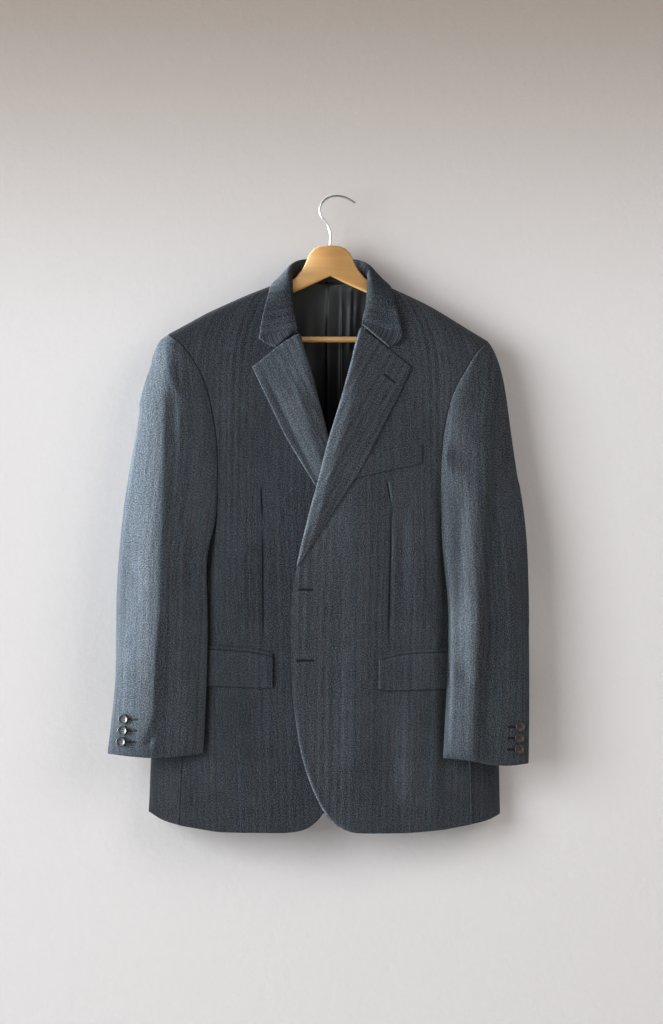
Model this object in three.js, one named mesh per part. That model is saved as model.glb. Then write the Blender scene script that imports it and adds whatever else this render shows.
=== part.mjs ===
// A herringbone wool blazer on its wooden hanger, hung by the hook with its fronts lapped and unbuttoned.
// Millimetres, +Z up, +X to the right of someone who faces the fronts, +Y towards the wall behind.
// The origin is the underside of the hook's bow, where it rests on its nail.
import * as THREE from "three";

// Driving sizes
const CLOTH = 2; // wall of the wool panels
const TURNED_CLOTH = 2.4; // wall of the lapels and the collar, two layers and canvas
const LINING = 1; // wall of the lining
const SEAM_GAP = 0.4; // clearance between two pieces sewn together
const ARMHOLE_GAP = 0.7; // clearance between a sleeve and the body's armhole
const CENTRE = -11; // X of the centre back seam
const HANGER_AXIS = -8.5; // X of the hanger's stem
const UNDERARM = -436; // Z of the lowest point of both armholes
const LAP = 9; // how far the right front lies outside the left one where they overlap
const NECK_HALF = 57; // half width of the back neckline
const NECK_BACK = -120; // Z of the neck seam at the centre back
const NECK_SET_BACK = 7; // from the roll line to the fronts' neck edge
const NECK_ROLL = 150; // height over which a front turns over the shoulder, beside the neck
const SHOULDER_ROLL = 65; // the same at the shoulder's end
const BACK_ROLL = 55; // height over which the back turns over the shoulder
const BACK_DEPTH = 44; // Y of the back's flat middle
const BACK_EDGE_DEPTH = 37; // Y of the back at its armholes and side seams
const JET_HEIGHT = 5;
const FLAP_WALL = 2;
const CUFF_BUTTON = { radius: 7.2, thick: 3 };
const FRONT_BUTTON = { radius: 10, thick: 3.6 };
const WIRE_RADIUS = 1.85;
const BAR_RADIUS = 4.3;
const BOARD_THICK = 12;
const BOARD_ROUND = 2.5; // rounding of the board's edges
const SLEEVE_HEAD_DROP = 0.6; // of the sleeve's top seam below the shoulder's end
const SIDE_TOP_DROP = 3; // of the side bodies' top edge below the underarm
const SIDE_SEAM_SHARE = 0.011; // of the side body's width, kept clear at each of its seams
const SLEEVE_SEAM_SHARE = 0.006; // of the sleeve's loop, kept clear at the under sleeve's seams

const WOOL = { color: "#49525a", roughness: 0.9, metalness: 0 };
const DARK_LINING = { color: "#1b2028", roughness: 0.55, metalness: 0 };
const HORN = { color: "#4a4643", roughness: 0.4, metalness: 0 };
const BEECH = { color: "#c98f52", roughness: 0.45, metalness: 0 };
const CHROME = { color: "#c9ccd0", roughness: 0.18, metalness: 1 };

const mix = THREE.MathUtils.lerp;
const clamp = THREE.MathUtils.clamp;
const point = (x, y, z) => new THREE.Vector3(x, y, z);

// Value at a place by a cubic that passes through every entry and never swings past one.
function smooth(places, values) {
  const order = places.map((_, k) => k).sort((a, b) => places[a] - places[b]);
  const xs = order.map((k) => places[k]);
  const ys = order.map((k) => values[k]);
  const slopes = xs.slice(1).map((x, k) => (ys[k + 1] - ys[k]) / (x - xs[k]));
  const tangent = (k) => {
    if (k === 0) return slopes[0];
    if (k === xs.length - 1) return slopes[k - 1];
    const before = slopes[k - 1];
    const after = slopes[k];
    return before * after <= 0 ? 0 : (2 * before * after) / (before + after);
  };
  return (x) => {
    if (x <= xs[0]) return ys[0];
    if (x >= xs[xs.length - 1]) return ys[ys.length - 1];
    let k = 0;
    while (x > xs[k + 1]) k += 1;
    const width = xs[k + 1] - xs[k];
    const t = (x - xs[k]) / width;
    const rise = ys[k + 1] - ys[k];
    const start = tangent(k) * width;
    const end = tangent(k + 1) * width;
    return ys[k] + t * (start + t * (3 * rise - 2 * start - end + t * (start + end - 2 * rise)));
  };
}

// A short table of sections as one smooth function for each named column after the first.
function table(names, rows) {
  const columns = names.split(" ");
  const places = rows.map((row) => row[0]);
  const made = columns.slice(1).map((name, k) => [name, smooth(places, rows.map((row) => row[k + 1]))]);
  return Object.fromEntries(made);
}

// How far the fronts stand out from the shoulder seam's plane, at their middle and at their side seam.
const DEPTH = table("z centre side", [
  [-115, 40, 34],
  [-200, 46, 35],
  [-300, 54, 40],
  [-400, 58, 42],
  [-528, 55, 38],
  [-650, 52, 31],
  [-800, 50, 24],
  [-905, 48, 20],
]);

// Left and right below are those of the picture of the fronts. The right front is the outer one.
const SIDES = {
  left: {
    out: -1,
    lap: 0,
    shoulder: table("x z", [
      [CENTRE, -92], [-62, -114.6], [-97, -129], [-121, -138], [-153, -152], [-186, -167], [-214, -183],
      [-239, -196],
    ]).z,
    // Roll line of the lapel, then the front edge
    inner: table("z x", [
      [-115, -62], [-136, -62], [-158, -60], [-176, -57], [-199, -52], [-231, -43], [-258, -35], [-297, -25],
      [-354, -10], [-400, 0], [-455, 11], [-528, 22], [-605, 29], [-665, 29], [-714, 27], [-758, 21],
      [-795, 15], [-825, 6], [-855, -6], [-879, -18],
    ]).x,
    // Armhole, then the seam between front and side body
    seam: table("z x", [
      [-196, -239], [-204, -226], [-219, -212], [-241, -196], [-271, -183], [-307, -175], [-339, -169],
      [-372, -167], [-415, -167], [-436, -168], [-517, -176], [-640, -198], [-800, -218], [-895, -223],
    ]).x,
    // Back of the armhole, then the seam between side body and back
    backSeam: table("z x", [
      [-196, -239], [-210, -228], [-240, -216], [-280, -209], [-340, -205], [-400, -207], [-436, -212],
      [-517, -226], [-640, -240], [-800, -250], [-880, -252],
    ]).x,
    sideBody: table("z x y", [
      [-436, -197, -4], [-517, -213, 10], [-640, -238, 14], [-800, -264, 18], [-880, -267, 18],
    ]),
    hem: table("x z", [
      [-18, -879], [-27, -890], [-38, -898], [-51, -902], [-70, -904.5], [-165, -904], [-197, -899],
      [-223, -895], [-249, -889], [-267, -877],
    ]).z,
    backHem: -880,
    sleeve: table("z outerX outerY frontBulge rearBulge", [
      [-196, -240, 0, 0.5, 0.5],
      [-204, -249, -1, 4, 3],
      [-222, -257, -3, 8, 6],
      [-241, -263, -5, 12, 8],
      [-285, -277, -8, 16, 9],
      [-339, -285, -11, 19, 10],
      [-437, -302, -18, 20, 10],
      [-517, -310, -26, 20, 9],
      [-586, -313, -32, 18, 8],
      [-676, -313, -40, 15, 7],
      [-726, -317, -43, 13, 6],
      [-795, -325, -46, 9, 4],
    ]),
    underSleeve: table("z innerX innerY elbowX elbowY underX underY", [
      [-436, -168, -41, -212, 37, -198, -4],
      [-470, -172, -47, -228, 26, -206, -12],
      [-517, -184, -51, -246, 8, -214, -20],
      [-600, -181, -54, -266, -8, -226, -33],
      [-700, -183, -54, -286, -24, -236, -42],
      [-795, -188, -51, -306, -38, -248, -41],
    ]),
    cuff: table("x z", [[-325, -792], [-302, -795], [-274, -798], [-223, -796], [-188, -792]]).z,
    cuffMiddle: -795,
    // Each row of the lapel's free edge, from its point down to the break
    lapelEdge: table("share x z", [
      [0, -119, -242], [0.12, -104, -275], [0.25, -88, -308], [0.38, -71, -343], [0.5, -53, -373],
      [0.65, -30, -410], [0.82, -5, -458], [1, 15, -519],
    ]),
    lapelTop: table("share x z", [[0, -55, -195], [0.35, -72, -207], [0.62, -90, -224], [1, -119, -242]]),
    lapelRoll: { from: -195, to: -524, bulgeTop: 7, bulgeFoot: 3 },
    lapelGap: 1.2,
    flap: { from: -89, length: 150 },
    flapTop: table("along z", [[0, -655], [15, -651], [33, -648], [59, -646], [93, -644], [150, -643]]).z,
    flapFoot: table("along z", [[0, -698], [6, -699], [30, -698], [59, -697], [150, -694]]).z,
    cuffButtons: [[-301, -743], [-302.5, -759], [-305, -775]],
  },
  right: {
    out: 1,
    lap: LAP,
    shoulder: table("x z", [
      [CENTRE, -92], [45, -115], [82, -132], [111, -145], [139, -159], [168, -177], [197, -195], [216, -206],
    ]).z,
    inner: table("z x", [
      [-115, 45], [-138, 45], [-162, 44], [-176, 40], [-200, 32], [-231, 25], [-261, 17], [-297, 7],
      [-329, -3], [-356, -11], [-409, -24], [-440, -33], [-481, -43], [-528, -55], [-558, -62],
      [-605, -64], [-665, -63], [-714, -61], [-758, -55], [-795, -49], [-825, -40], [-855, -28], [-879, -16],
    ]).x,
    seam: table("z x", [
      [-206, 216], [-222, 200], [-250, 183], [-271, 170], [-302, 159], [-337, 153], [-371, 149],
      [-415, 148], [-436, 148.5], [-517, 153], [-640, 172], [-800, 190], [-890, 192],
    ]).x,
    backSeam: table("z x", [
      [-206, 216], [-222, 206], [-250, 196], [-290, 189], [-340, 186], [-400, 188], [-436, 193],
      [-517, 205], [-640, 214], [-800, 220], [-880, 222],
    ]).x,
    sideBody: table("z x y", [
      [-436, 178, -4], [-517, 192, 8], [-640, 212, 12], [-800, 232, 16], [-880, 233, 16],
    ]),
    hem: table("x z", [
      [-16, -879], [-4, -892], [10, -900], [26, -904.5], [91, -905], [141, -902], [190, -894], [222, -888],
      [233, -880],
    ]).z,
    backHem: -880,
    sleeve: table("z outerX outerY frontBulge rearBulge", [
      [-206, 217, 0, 0.5, 0.5],
      [-213, 222, -1, 3, 2],
      [-222, 227, -2, 6, 5],
      [-246, 236, -4, 11, 7],
      [-285, 244, -7, 15, 9],
      [-339, 251, -10, 19, 10],
      [-404, 261, -15, 20, 10],
      [-447, 268, -19, 20, 10],
      [-501, 273, -24, 19, 9],
      [-596, 275, -32, 18, 8],
      [-676, 275, -38, 15, 7],
      [-808, 274, -43, 9, 4],
    ]),
    underSleeve: table("z innerX innerY elbowX elbowY underX underY", [
      [-436, 148.5, -41, 193, 37, 179, -4],
      [-470, 149, -47, 206, 26, 187, -12],
      [-517, 152, -51, 220, 8, 195, -20],
      [-600, 160, -54, 240, -8, 206, -33],
      [-700, 157, -54, 254, -22, 212, -42],
      [-808, 151, -50, 260, -34, 208, -41],
    ]),
    cuff: table("x z", [[151, -798], [183, -801], [213, -806], [241, -810], [274, -806]]).z,
    cuffMiddle: -806,
    lapelEdge: table("share x z", [
      [0, 107, -242], [0.12, 93, -275], [0.25, 74, -312], [0.38, 56, -349], [0.5, 38, -385],
      [0.65, 12, -424], [0.82, -19, -473], [1, -49, -519],
    ]),
    lapelTop: table("share x z", [[0, 37, -187], [0.35, 57, -205], [0.62, 80, -222], [1, 107, -242]]),
    lapelRoll: { from: -187, to: -524, bulgeTop: 8, bulgeFoot: 5 },
    lapelGap: 2.7,
    flap: { from: 60, length: 150 },
    flapTop: table("along z", [[0, -660], [20, -655], [41, -651], [76, -649], [150, -647]]).z,
    flapFoot: table("along z", [[0, -700], [5, -702], [34, -702], [65, -701], [150, -698]]).z,
    cuffButtons: [[261, -754], [260, -770], [260, -785.6]],
  },
};

// Largest folds of the hanging cloth: soft ridges (height over 0) and troughs that run down a piece
const SLEEVE_FOLDS = {
  left: [
    { topX: -252, topZ: -240, footX: -247, footZ: -660, half: 13, height: 5 },
    { topX: -228, topZ: -250, footX: -232, footZ: -640, half: 14, height: -4 },
  ],
  right: [
    { topX: 226, topZ: -255, footX: 214, footZ: -420, half: 13, height: 4 },
    { topX: 205, topZ: -380, footX: 193, footZ: -790, half: 15, height: 4.5 },
    { topX: 240, topZ: -400, footX: 232, footZ: -760, half: 18, height: -4 },
  ],
};
const FRONT_FOLDS = {
  left: [{ topX: -140, topZ: -480, footX: -150, footZ: -640, half: 24, height: 3 }],
  right: [{ topX: 110, topZ: -470, footX: 122, footZ: -650, half: 22, height: 3 }],
};

function foldHeight(folds, x, z) {
  return folds.reduce((sum, fold) => {
    const along = (z - fold.topZ) / (fold.footZ - fold.topZ);
    if (along <= 0 || along >= 1) return sum;
    const away = (x - mix(fold.topX, fold.footX, along)) / fold.half;
    return sum + fold.height * Math.exp(-away * away) * Math.sin(Math.PI * along) ** 0.7;
  }, 0);
}

// Share of the full depth reached at a distance below the shoulder line: a quarter ellipse.
const turnOver = (drop, reach) => Math.sqrt(1 - (1 - clamp(drop / reach, 0, 1)) ** 2);

function frontY(side, x, z) {
  const across = clamp((x - CENTRE) / (side.seam(z) - CENTRE), 0, 1);
  const depth = mix(DEPTH.centre(z), DEPTH.side(z), across ** 2.6);
  const reach = mix(NECK_ROLL, SHOULDER_ROLL, clamp(Math.abs(x - CENTRE) / 230, 0, 1));
  const overlap = THREE.MathUtils.smoothstep(-z, 230, 340) * (1 - THREE.MathUtils.smoothstep(x, 30, 100));
  const folds = foldHeight(side.out < 0 ? FRONT_FOLDS.left : FRONT_FOLDS.right, x, z);
  return -SEAM_GAP / 2 - depth * turnOver(side.shoulder(x) - z, reach) - side.lap * overlap - folds;
}

function backY(side, x, z) {
  const across = clamp((x - CENTRE) / (side.backSeam(z) - CENTRE), 0, 1);
  const depth = mix(BACK_DEPTH, BACK_EDGE_DEPTH, across ** 3);
  return SEAM_GAP / 2 + depth * turnOver(side.shoulder(x) - z, BACK_ROLL);
}

// Point of the body's outer face at a height: 0 to 1 is the front, 1 to 2 the side body, 2 to 3 the back.
function bodyPoint(side, around, z) {
  if (around <= 1) {
    const x = mix(side.inner(z), side.seam(z), around);
    return point(x, frontY(side, x, z), z);
  }
  if (around >= 2) {
    const x = mix(side.backSeam(z), CENTRE, around - 2);
    return point(x, backY(side, x, z), z);
  }
  const t = around - 1;
  const start = point(side.seam(z), frontY(side, side.seam(z), z), z);
  const end = point(side.backSeam(z), backY(side, side.backSeam(z), z), z);
  const middle = point(side.sideBody.x(z), side.sideBody.y(z), z);
  const pull = middle.multiplyScalar(2).addScaledVector(start, -0.5).addScaledVector(end, -0.5);
  return new THREE.QuadraticBezierCurve3(start, pull, end).getPoint(t);
}

// Rows of a panel: close together where the cloth turns over the shoulder, then even down to the hem
const YOKE_ROWS = [0, 0.004, 0.015, 0.035, 0.07, 0.12, 0.19, 0.28, 0.39, 0.52, 0.68, 0.84, 1];
const YOKE = YOKE_ROWS.length - 1;
const SKIRT_ROWS = 11;
const ALL_ROWS = YOKE + SKIRT_ROWS;
const hemRow = (row) => (row - YOKE) / SKIRT_ROWS;

// The point of a face that lies on a row, where the row's height depends on where the point is.
function settle(pointAt, heightAt) {
  let z = UNDERARM;
  for (let pass = 0; pass < 60; pass += 1) z = mix(z, heightAt(pointAt(z)), 0.5);
  const settled = pointAt(z);
  settled.z = z;
  return settled;
}

const neckline = (x) => NECK_BACK + 3 * (Math.abs(x - CENTRE) / NECK_HALF) ** 2;

// The front stops short of the roll line beside the neck, where the collar's stand is sewn to it.
function insideSeam(side, around, z) {
  if (around > 1) return around;
  const setBack = NECK_SET_BACK * (1 - THREE.MathUtils.smoothstep(-z, 175, 215));
  return mix(setBack / Math.abs(side.seam(z) - side.inner(z)), 1, around);
}

function frontFace(side, around, row) {
  const height = (p) =>
    row <= YOKE
      ? mix(side.shoulder(p.x), UNDERARM, YOKE_ROWS[row])
      : mix(UNDERARM, side.hem(p.x), hemRow(row));
  return settle((z) => bodyPoint(side, insideSeam(side, around, z), z), height);
}

function backFace(side, around, row) {
  const height = (p) =>
    row <= YOKE
      ? mix(Math.min(side.shoulder(p.x), neckline(p.x)), UNDERARM, YOKE_ROWS[row])
      : mix(UNDERARM, mix(side.backHem, side.hem(p.x), clamp(3 - around, 0, 1) ** 8), hemRow(row));
  return settle((z) => bodyPoint(side, around, z), height);
}

// A closed wall whose outer face is a grid of points and whose inner face lies a wall's thickness inside.
// inside is a point on the inner side. before and after say at which rows the face goes on past an edge
// into the next piece, and lean may give the wall's direction.
function wall(face, columns, rows, thick, inside, { before, after, lean } = {}) {
  const outer = [];
  const inner = [];
  const count = columns + 1;
  let facing = 0;
  const normals = [];
  for (let row = 0; row <= rows; row += 1)
    for (let column = 0; column <= columns; column += 1) {
      const here = face(column / columns, row);
      const left = column > 0 || before?.(row) ? face((column - 1) / columns, row) : here;
      const right = column < columns || after?.(row) ? face((column + 1) / columns, row) : here;
      const up = face(column / columns, Math.max(row - 1, 0));
      const down = face(column / columns, Math.min(row + 1, rows));
      const normal = right.clone().sub(left).cross(down.clone().sub(up)).normalize();
      facing += normal.dot(inside.clone().sub(here).normalize());
      outer.push(here);
      normals.push(normal);
    }
  const turn = facing > 0 ? 1 : -1;
  outer.forEach((p, k) => {
    const given = lean ? lean(k % count, Math.floor(k / count), p) : null;
    inner.push(p.clone().addScaledVector(given ?? normals[k].multiplyScalar(turn), thick));
  });
  const places = [...outer, ...inner].flatMap((p) => [p.x, p.y, p.z]);
  const faces = [];
  const shift = outer.length;
  const quad = (a, b, c, d) => faces.push(...(turn > 0 ? [a, d, c, a, c, b] : [a, b, c, a, c, d]));
  for (let row = 0; row < rows; row += 1)
    for (let column = 0; column < columns; column += 1) {
      const a = row * count + column;
      quad(a, a + 1, a + 1 + count, a + count);
      quad(shift + a, shift + a + count, shift + a + 1 + count, shift + a + 1);
    }
  for (let column = 0; column < columns; column += 1) {
    const low = rows * count + column;
    quad(column + 1, column, shift + column, shift + column + 1);
    quad(low, low + 1, shift + low + 1, shift + low);
  }
  for (let row = 0; row < rows; row += 1) {
    const a = row * count;
    const b = a + columns;
    quad(a, a + count, shift + a + count, shift + a);
    quad(b + count, b, shift + b, shift + b + count);
  }
  const geometry = new THREE.BufferGeometry();
  geometry.setAttribute("position", new THREE.Float32BufferAttribute(places, 3));
  geometry.setIndex(faces);
  geometry.computeVertexNormals();
  const at = (list, column, row) => list[row * count + column];
  return { geometry, outer: (c, r) => at(outer, c, r), inner: (c, r) => at(inner, c, r) };
}

const blazer = new THREE.Group();

function add(name, geometry, finish) {
  const mesh = new THREE.Mesh(geometry, new THREE.MeshStandardMaterial(finish));
  mesh.name = name;
  blazer.add(mesh);
  return mesh;
}

const BODY_CORE = point(CENTRE, 0, -500);
const DOWN = point(0, 0, -1);
const always = () => true;

// Fronts, side bodies and backs
const FRONT_COLUMNS = 11;
const SIDE_COLUMNS = 5;
const BACK_COLUMNS = 9;
const armholes = {};

for (const [name, side] of Object.entries(SIDES)) {
  const ridge = (column, row) => (row === 0 ? DOWN : null);
  const skirt = (row) => row >= YOKE;
  const frontAt = (u, row) => frontFace(side, u, row);
  const front = wall(frontAt, FRONT_COLUMNS, ALL_ROWS, CLOTH, BODY_CORE, { after: skirt, lean: ridge });
  add("front_" + name, front.geometry, WOOL);

  const sideFace = (u, row) => {
    const around = 1 + mix(SIDE_SEAM_SHARE, 1 - SIDE_SEAM_SHARE, u);
    return row === 0 ? bodyPoint(side, around, UNDERARM - SIDE_TOP_DROP) : frontFace(side, around, row + YOKE);
  };
  const body = wall(sideFace, SIDE_COLUMNS, SKIRT_ROWS, CLOTH, BODY_CORE, { before: always, after: always });
  add("side_body_" + name, body.geometry, WOOL);

  const backRidge = (column, row, p) => (row === 0 && Math.abs(p.x - CENTRE) > NECK_HALF ? DOWN : null);
  const backFaceAt = (u, row) => {
    const p = backFace(side, 3 - u, row);
    p.x += (1 - u) * side.out * SEAM_GAP;
    return p;
  };
  const joined = { before: always, after: skirt, lean: backRidge };
  const back = wall(backFaceAt, BACK_COLUMNS, ALL_ROWS, CLOTH, BODY_CORE, joined);
  add("back_" + name, back.geometry, WOOL);
  armholes[name] = { front, back };
}

// Sleeves: a closed loop through six places, of which the first four spans are the top sleeve.
const CUFF_ROWS = 10;
const SLEEVE_ROWS = YOKE + CUFF_ROWS;
const TOP_SLEEVE_SHARE = 4 / 6;

function armholePoint(shell, columns, row, out) {
  const p = shell.outer(columns, row).clone();
  p.x += out * ARMHOLE_GAP;
  return p;
}

function sleevePoint(name, share, row) {
  const side = SIDES[name];
  const { sleeve, underSleeve, out } = side;
  const top = side.shoulder(out * 1000) - SLEEVE_HEAD_DROP;
  const fraction = row <= YOKE ? YOKE_ROWS[row] : (row - YOKE) / CUFF_ROWS;
  const z = row <= YOKE ? mix(top, UNDERARM, fraction) : mix(UNDERARM, side.cuffMiddle, fraction);
  const outer = point(sleeve.outerX(z), sleeve.outerY(z), z);
  let inner = point(underSleeve.innerX(z), underSleeve.innerY(z), z);
  let elbow = point(underSleeve.elbowX(z), underSleeve.elbowY(z), z);
  let under = point(underSleeve.underX(z), underSleeve.underY(z), z);
  if (row <= YOKE) {
    inner = armholePoint(armholes[name].front, FRONT_COLUMNS, row, out);
    elbow = armholePoint(armholes[name].back, BACK_COLUMNS, row, out);
    under = inner.clone().lerp(elbow, 0.5);
  }
  const front = inner.clone().lerp(outer, 0.5);
  front.y -= sleeve.frontBulge(z);
  const rear = outer.clone().lerp(elbow, 0.5);
  rear.y += sleeve.rearBulge(z);
  rear.x += out * sleeve.rearBulge(z) * 0.5;
  const loop = new THREE.CatmullRomCurve3([inner, front, outer, rear, elbow, under], true, "centripetal");
  const p = loop.getPoint((share + 1) % 1);
  if (share < TOP_SLEEVE_SHARE / 2) p.y -= foldHeight(SLEEVE_FOLDS[name], p.x, p.z);
  if (row > YOKE) p.z = mix(UNDERARM, side.cuff(p.x), fraction);
  return p;
}

const TOP_SLEEVE_COLUMNS = 14;
const UNDER_SLEEVE_COLUMNS = 7;
// The under sleeve's top edge follows the side body: how far round it goes, and how far off it lies
const UNDERARM_SPAN = { back: 1.955, front: 1.03, clear: 1.3, away: 8 };
for (const [name, side] of Object.entries(SIDES)) {
  const core = point(mix(side.seam(UNDERARM), side.sleeve.outerX(UNDERARM), 0.5), -10, -500);
  const towardsMiddle = (p, row) => {
    const middle = sleevePoint(name, 1 / 6, row).lerp(sleevePoint(name, 5 / 6, row), 0.5);
    return middle.sub(p).setZ(0).normalize();
  };
  const wallOf = (shell, column, row) =>
    shell.inner(column, row).clone().sub(shell.outer(column, row)).normalize();
  const sewn = (column, row, p) => {
    if (row > YOKE) return column % TOP_SLEEVE_COLUMNS ? null : towardsMiddle(p, row);
    if (column === 0) return wallOf(armholes[name].front, FRONT_COLUMNS, row);
    if (column === TOP_SLEEVE_COLUMNS) return wallOf(armholes[name].back, BACK_COLUMNS, row);
    return row === 0 ? DOWN : null;
  };
  const topFace = (u, row) => sleevePoint(name, u * TOP_SLEEVE_SHARE, row);
  const top = wall(topFace, TOP_SLEEVE_COLUMNS, SLEEVE_ROWS, CLOTH, core, { lean: sewn });
  add("top_sleeve_" + name, top.geometry, WOOL);

  const underFace = (u, row) => {
    const share = mix(TOP_SLEEVE_SHARE + SLEEVE_SEAM_SHARE, 1 - SLEEVE_SEAM_SHARE, u);
    const p = sleevePoint(name, share, row + YOKE);
    const beside = bodyPoint(side, mix(UNDERARM_SPAN.back, UNDERARM_SPAN.front, u), p.z);
    beside.x += side.out * mix(UNDERARM_SPAN.clear, UNDERARM_SPAN.away, row / 2);
    return p.lerp(beside, 1 - THREE.MathUtils.smoothstep(row, 0, 2));
  };
  const under = wall(underFace, UNDER_SLEEVE_COLUMNS, CUFF_ROWS, CLOTH, core, {
    lean: (column, row, p) => (column % UNDER_SLEEVE_COLUMNS ? null : towardsMiddle(p, row + YOKE)),
  });
  add("under_sleeve_" + name, under.geometry, WOOL);
}

// Lapels: each goes out of the neck, rolls over and lies on its front down to the break.
const LAPEL_COLUMNS = 7;
const LAPEL_ROWS = 18;
const LAPEL_TURN_IN = 2.6; // how far the lapel's inner edge lies inside its roll line
const ROLL_CREST = 7; // from the roll line to where a wide lapel's roll ends
const ROLL_SLOPE = 20; // and to the middle of the slope beyond it

// Outer face of a turned band from its roll to its free edge, with its back resting on the front below.
function turnedPlace(side, roll, edge, share, bulge, gap) {
  const away = edge.clone().sub(roll);
  const reach = away.length();
  away.normalize();
  const on = (distance, lift) => {
    const p = roll.clone().addScaledVector(away, distance);
    const under = roll.clone().addScaledVector(away, Math.max(distance, 1));
    return point(p.x, frontY(side, under.x, under.z) - lift, p.z);
  };
  const rest = gap + TURNED_CLOTH;
  const section = [
    on(-LAPEL_TURN_IN, 0.4),
    on(-LAPEL_TURN_IN, bulge * 0.55),
    on(0, bulge),
    on(Math.min(ROLL_CREST, reach * 0.3), Math.max(bulge * 0.92, rest)),
    on(Math.min(ROLL_SLOPE, reach * 0.55), mix(bulge, rest, 0.6)),
    on(reach * 0.8, rest + 0.3),
    on(reach, rest),
  ];
  return new THREE.CatmullRomCurve3(section, false, "centripetal").getPoint(share);
}

for (const [name, side] of Object.entries(SIDES)) {
  const { from, to, bulgeTop, bulgeFoot } = side.lapelRoll;
  const face = (u, row) => {
    const down = row / LAPEL_ROWS;
    const z = mix(from, to, down);
    const roll = point(side.inner(z), 0, z);
    const edge = point(side.lapelEdge.x(down), 0, side.lapelEdge.z(down));
    const p = turnedPlace(side, roll, edge, u, mix(bulgeTop, bulgeFoot, down), side.lapelGap);
    if (row === 0) {
      const across = clamp((p.x - roll.x) / (edge.x - roll.x), 0, 1);
      p.z = side.lapelTop.z(across) - 0.6;
      p.y = Math.min(p.y, frontY(side, p.x, p.z) - side.lapelGap - TURNED_CLOTH * clamp(across * 4, 0.3, 1));
    }
    return p;
  };
  const core = point(side.seam(-300), 40, -300);
  const lapel = wall(face, LAPEL_COLUMNS, LAPEL_ROWS, TURNED_CLOTH, core);
  add("lapel_" + name, lapel.geometry, WOOL);
}

// Collar: stand and fall in one, from the left gorge round the neck to the right one
const COLLAR = [
  // neck seam            fold                  free edge
  [-54, -37, -195, -55, -48, -189, -108, -47.5, -201],
  [-58, -31, -171, -59, -42, -168, -107, -47, -185],
  [-60.5, -22, -150, -62, -32, -147, -102, -43, -160],
  [-61.5, -14, -129, -63.5, -20, -124, -97, -30, -139],
  [-62, -8, -112.5, -63, -6, -104, -92.5, -7, -123],
  [-59.5, 5, -112.5, -60, 8, -95, -88, 16, -124],
  [-51, 19, -116.5, -51, 22, -89, -74, 38, -127],
  [-34, 31, -118.6, -34, 33, -86.5, -48, 50, -132],
  [-9, 35, -119.2, -9, 38, -85.5, -9, 53.5, -135],
  [16, 31, -118.6, 16, 33, -86.5, 30, 50, -132],
  [33, 19, -116.5, 33, 22, -89.5, 57, 38, -128],
  [42, 5, -112.5, 43, 8, -96, 72, 16, -125],
  [44.5, -8, -112.6, 45.5, -6, -106, 78, -7, -125.5],
  [44, -14, -131, 46, -20, -126, 82, -31, -141],
  [43, -22, -152, 44.5, -33, -149, 87, -46, -163],
  [39, -31, -170, 40, -43, -166, 92, -50, -184],
  [36, -37, -188, 37, -49, -182, 95, -50.5, -200],
];
const COLLAR_ENDS = [
  { fold: [-55, -189], notch: [-89, -218.5], tip: [-110, -203] },
  { fold: [37, -182], notch: [80, -219], tip: [96, -202] },
];
const COLLAR_COLUMNS = 8;
const COLLAR_ROWS = 30;
// Height of the collar's soft roll above a flat leaf, which dies away where it is sewn to the lapels
const COLLAR_PUFF = { crest: 1.6, early: 4.4, middle: 2.6, atEnds: 0.3, fade: 0.13 };

const collarLines = [0, 3, 6].map(
  (k) => new THREE.CatmullRomCurve3(COLLAR.map((row) => point(...row.slice(k, k + 3))), false, "centripetal"),
);

function collarFace(u, row) {
  const along = row / COLLAR_ROWS;
  const [neck, fold, edge] = collarLines.map((line) => line.getPoint(along));
  const run = collarLines[1].getTangent(along);
  const fall = edge.clone().sub(fold);
  const lift = run.clone().cross(fall).normalize();
  if (lift.dot(fold.clone().sub(point(HANGER_AXIS, 0, fold.z - 60))) < 0) lift.negate();
  const nearEnd = Math.min(along, 1 - along);
  const puff = mix(COLLAR_PUFF.atEnds, 1, THREE.MathUtils.smoothstep(nearEnd, 0, COLLAR_PUFF.fade));
  const raised = (share, height) =>
    fold.clone().addScaledVector(fall, share).addScaledVector(lift, height * puff);
  const stand = neck.clone().lerp(fold, 0.75).addScaledVector(lift, -1.2);
  const crest = raised(0, COLLAR_PUFF.crest);
  const early = raised(0.14, COLLAR_PUFF.early);
  const middle = raised(0.5, COLLAR_PUFF.middle);
  const section = new THREE.CatmullRomCurve3([neck, stand, crest, early, middle, edge], false, "centripetal");
  return section.getPoint(u);
}

// The collar's two ends run down the gorge seam to the notch and back up to the collar's point.
function collarPlace(u, row) {
  const p = collarFace(u, row);
  const end = row === 0 ? COLLAR_ENDS[0] : row === COLLAR_ROWS ? COLLAR_ENDS[1] : null;
  if (!end || u < 0.4) return p;
  const across = (u - 0.4) / 0.6;
  const [from, to, share] = across < 0.66
    ? [end.fold, end.notch, across / 0.66]
    : [end.notch, end.tip, (across - 0.66) / 0.34];
  const side = row === 0 ? SIDES.left : SIDES.right;
  p.x = mix(from[0], to[0], share);
  p.z = mix(from[1], to[1], share) + 0.6;
  p.y = Math.min(p.y, frontY(side, p.x, p.z) - side.lapelGap - TURNED_CLOTH);
  return p;
}

const collar = wall(collarPlace, COLLAR_COLUMNS, COLLAR_ROWS, TURNED_CLOTH, point(HANGER_AXIS, 0, -400));
add("collar", collar.geometry, WOOL);

// Back lining: hangs inside the backs from the neck seam, with the pleat that the open neck shows.
const LINING_COLUMNS = 18;
const LINING_ROWS = 11;
const LINING_HEM = -862;
const PLEAT = { left: -11, right: 7, rise: 2.5, soft: 4 };
const LINING_SET_BACK = { underarm: 14, hem: 16, shoulder: 14 }; // from the backs' edges
const LINING_HANG = { top: 2.6, below: 4 }; // clear of the backs

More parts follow.
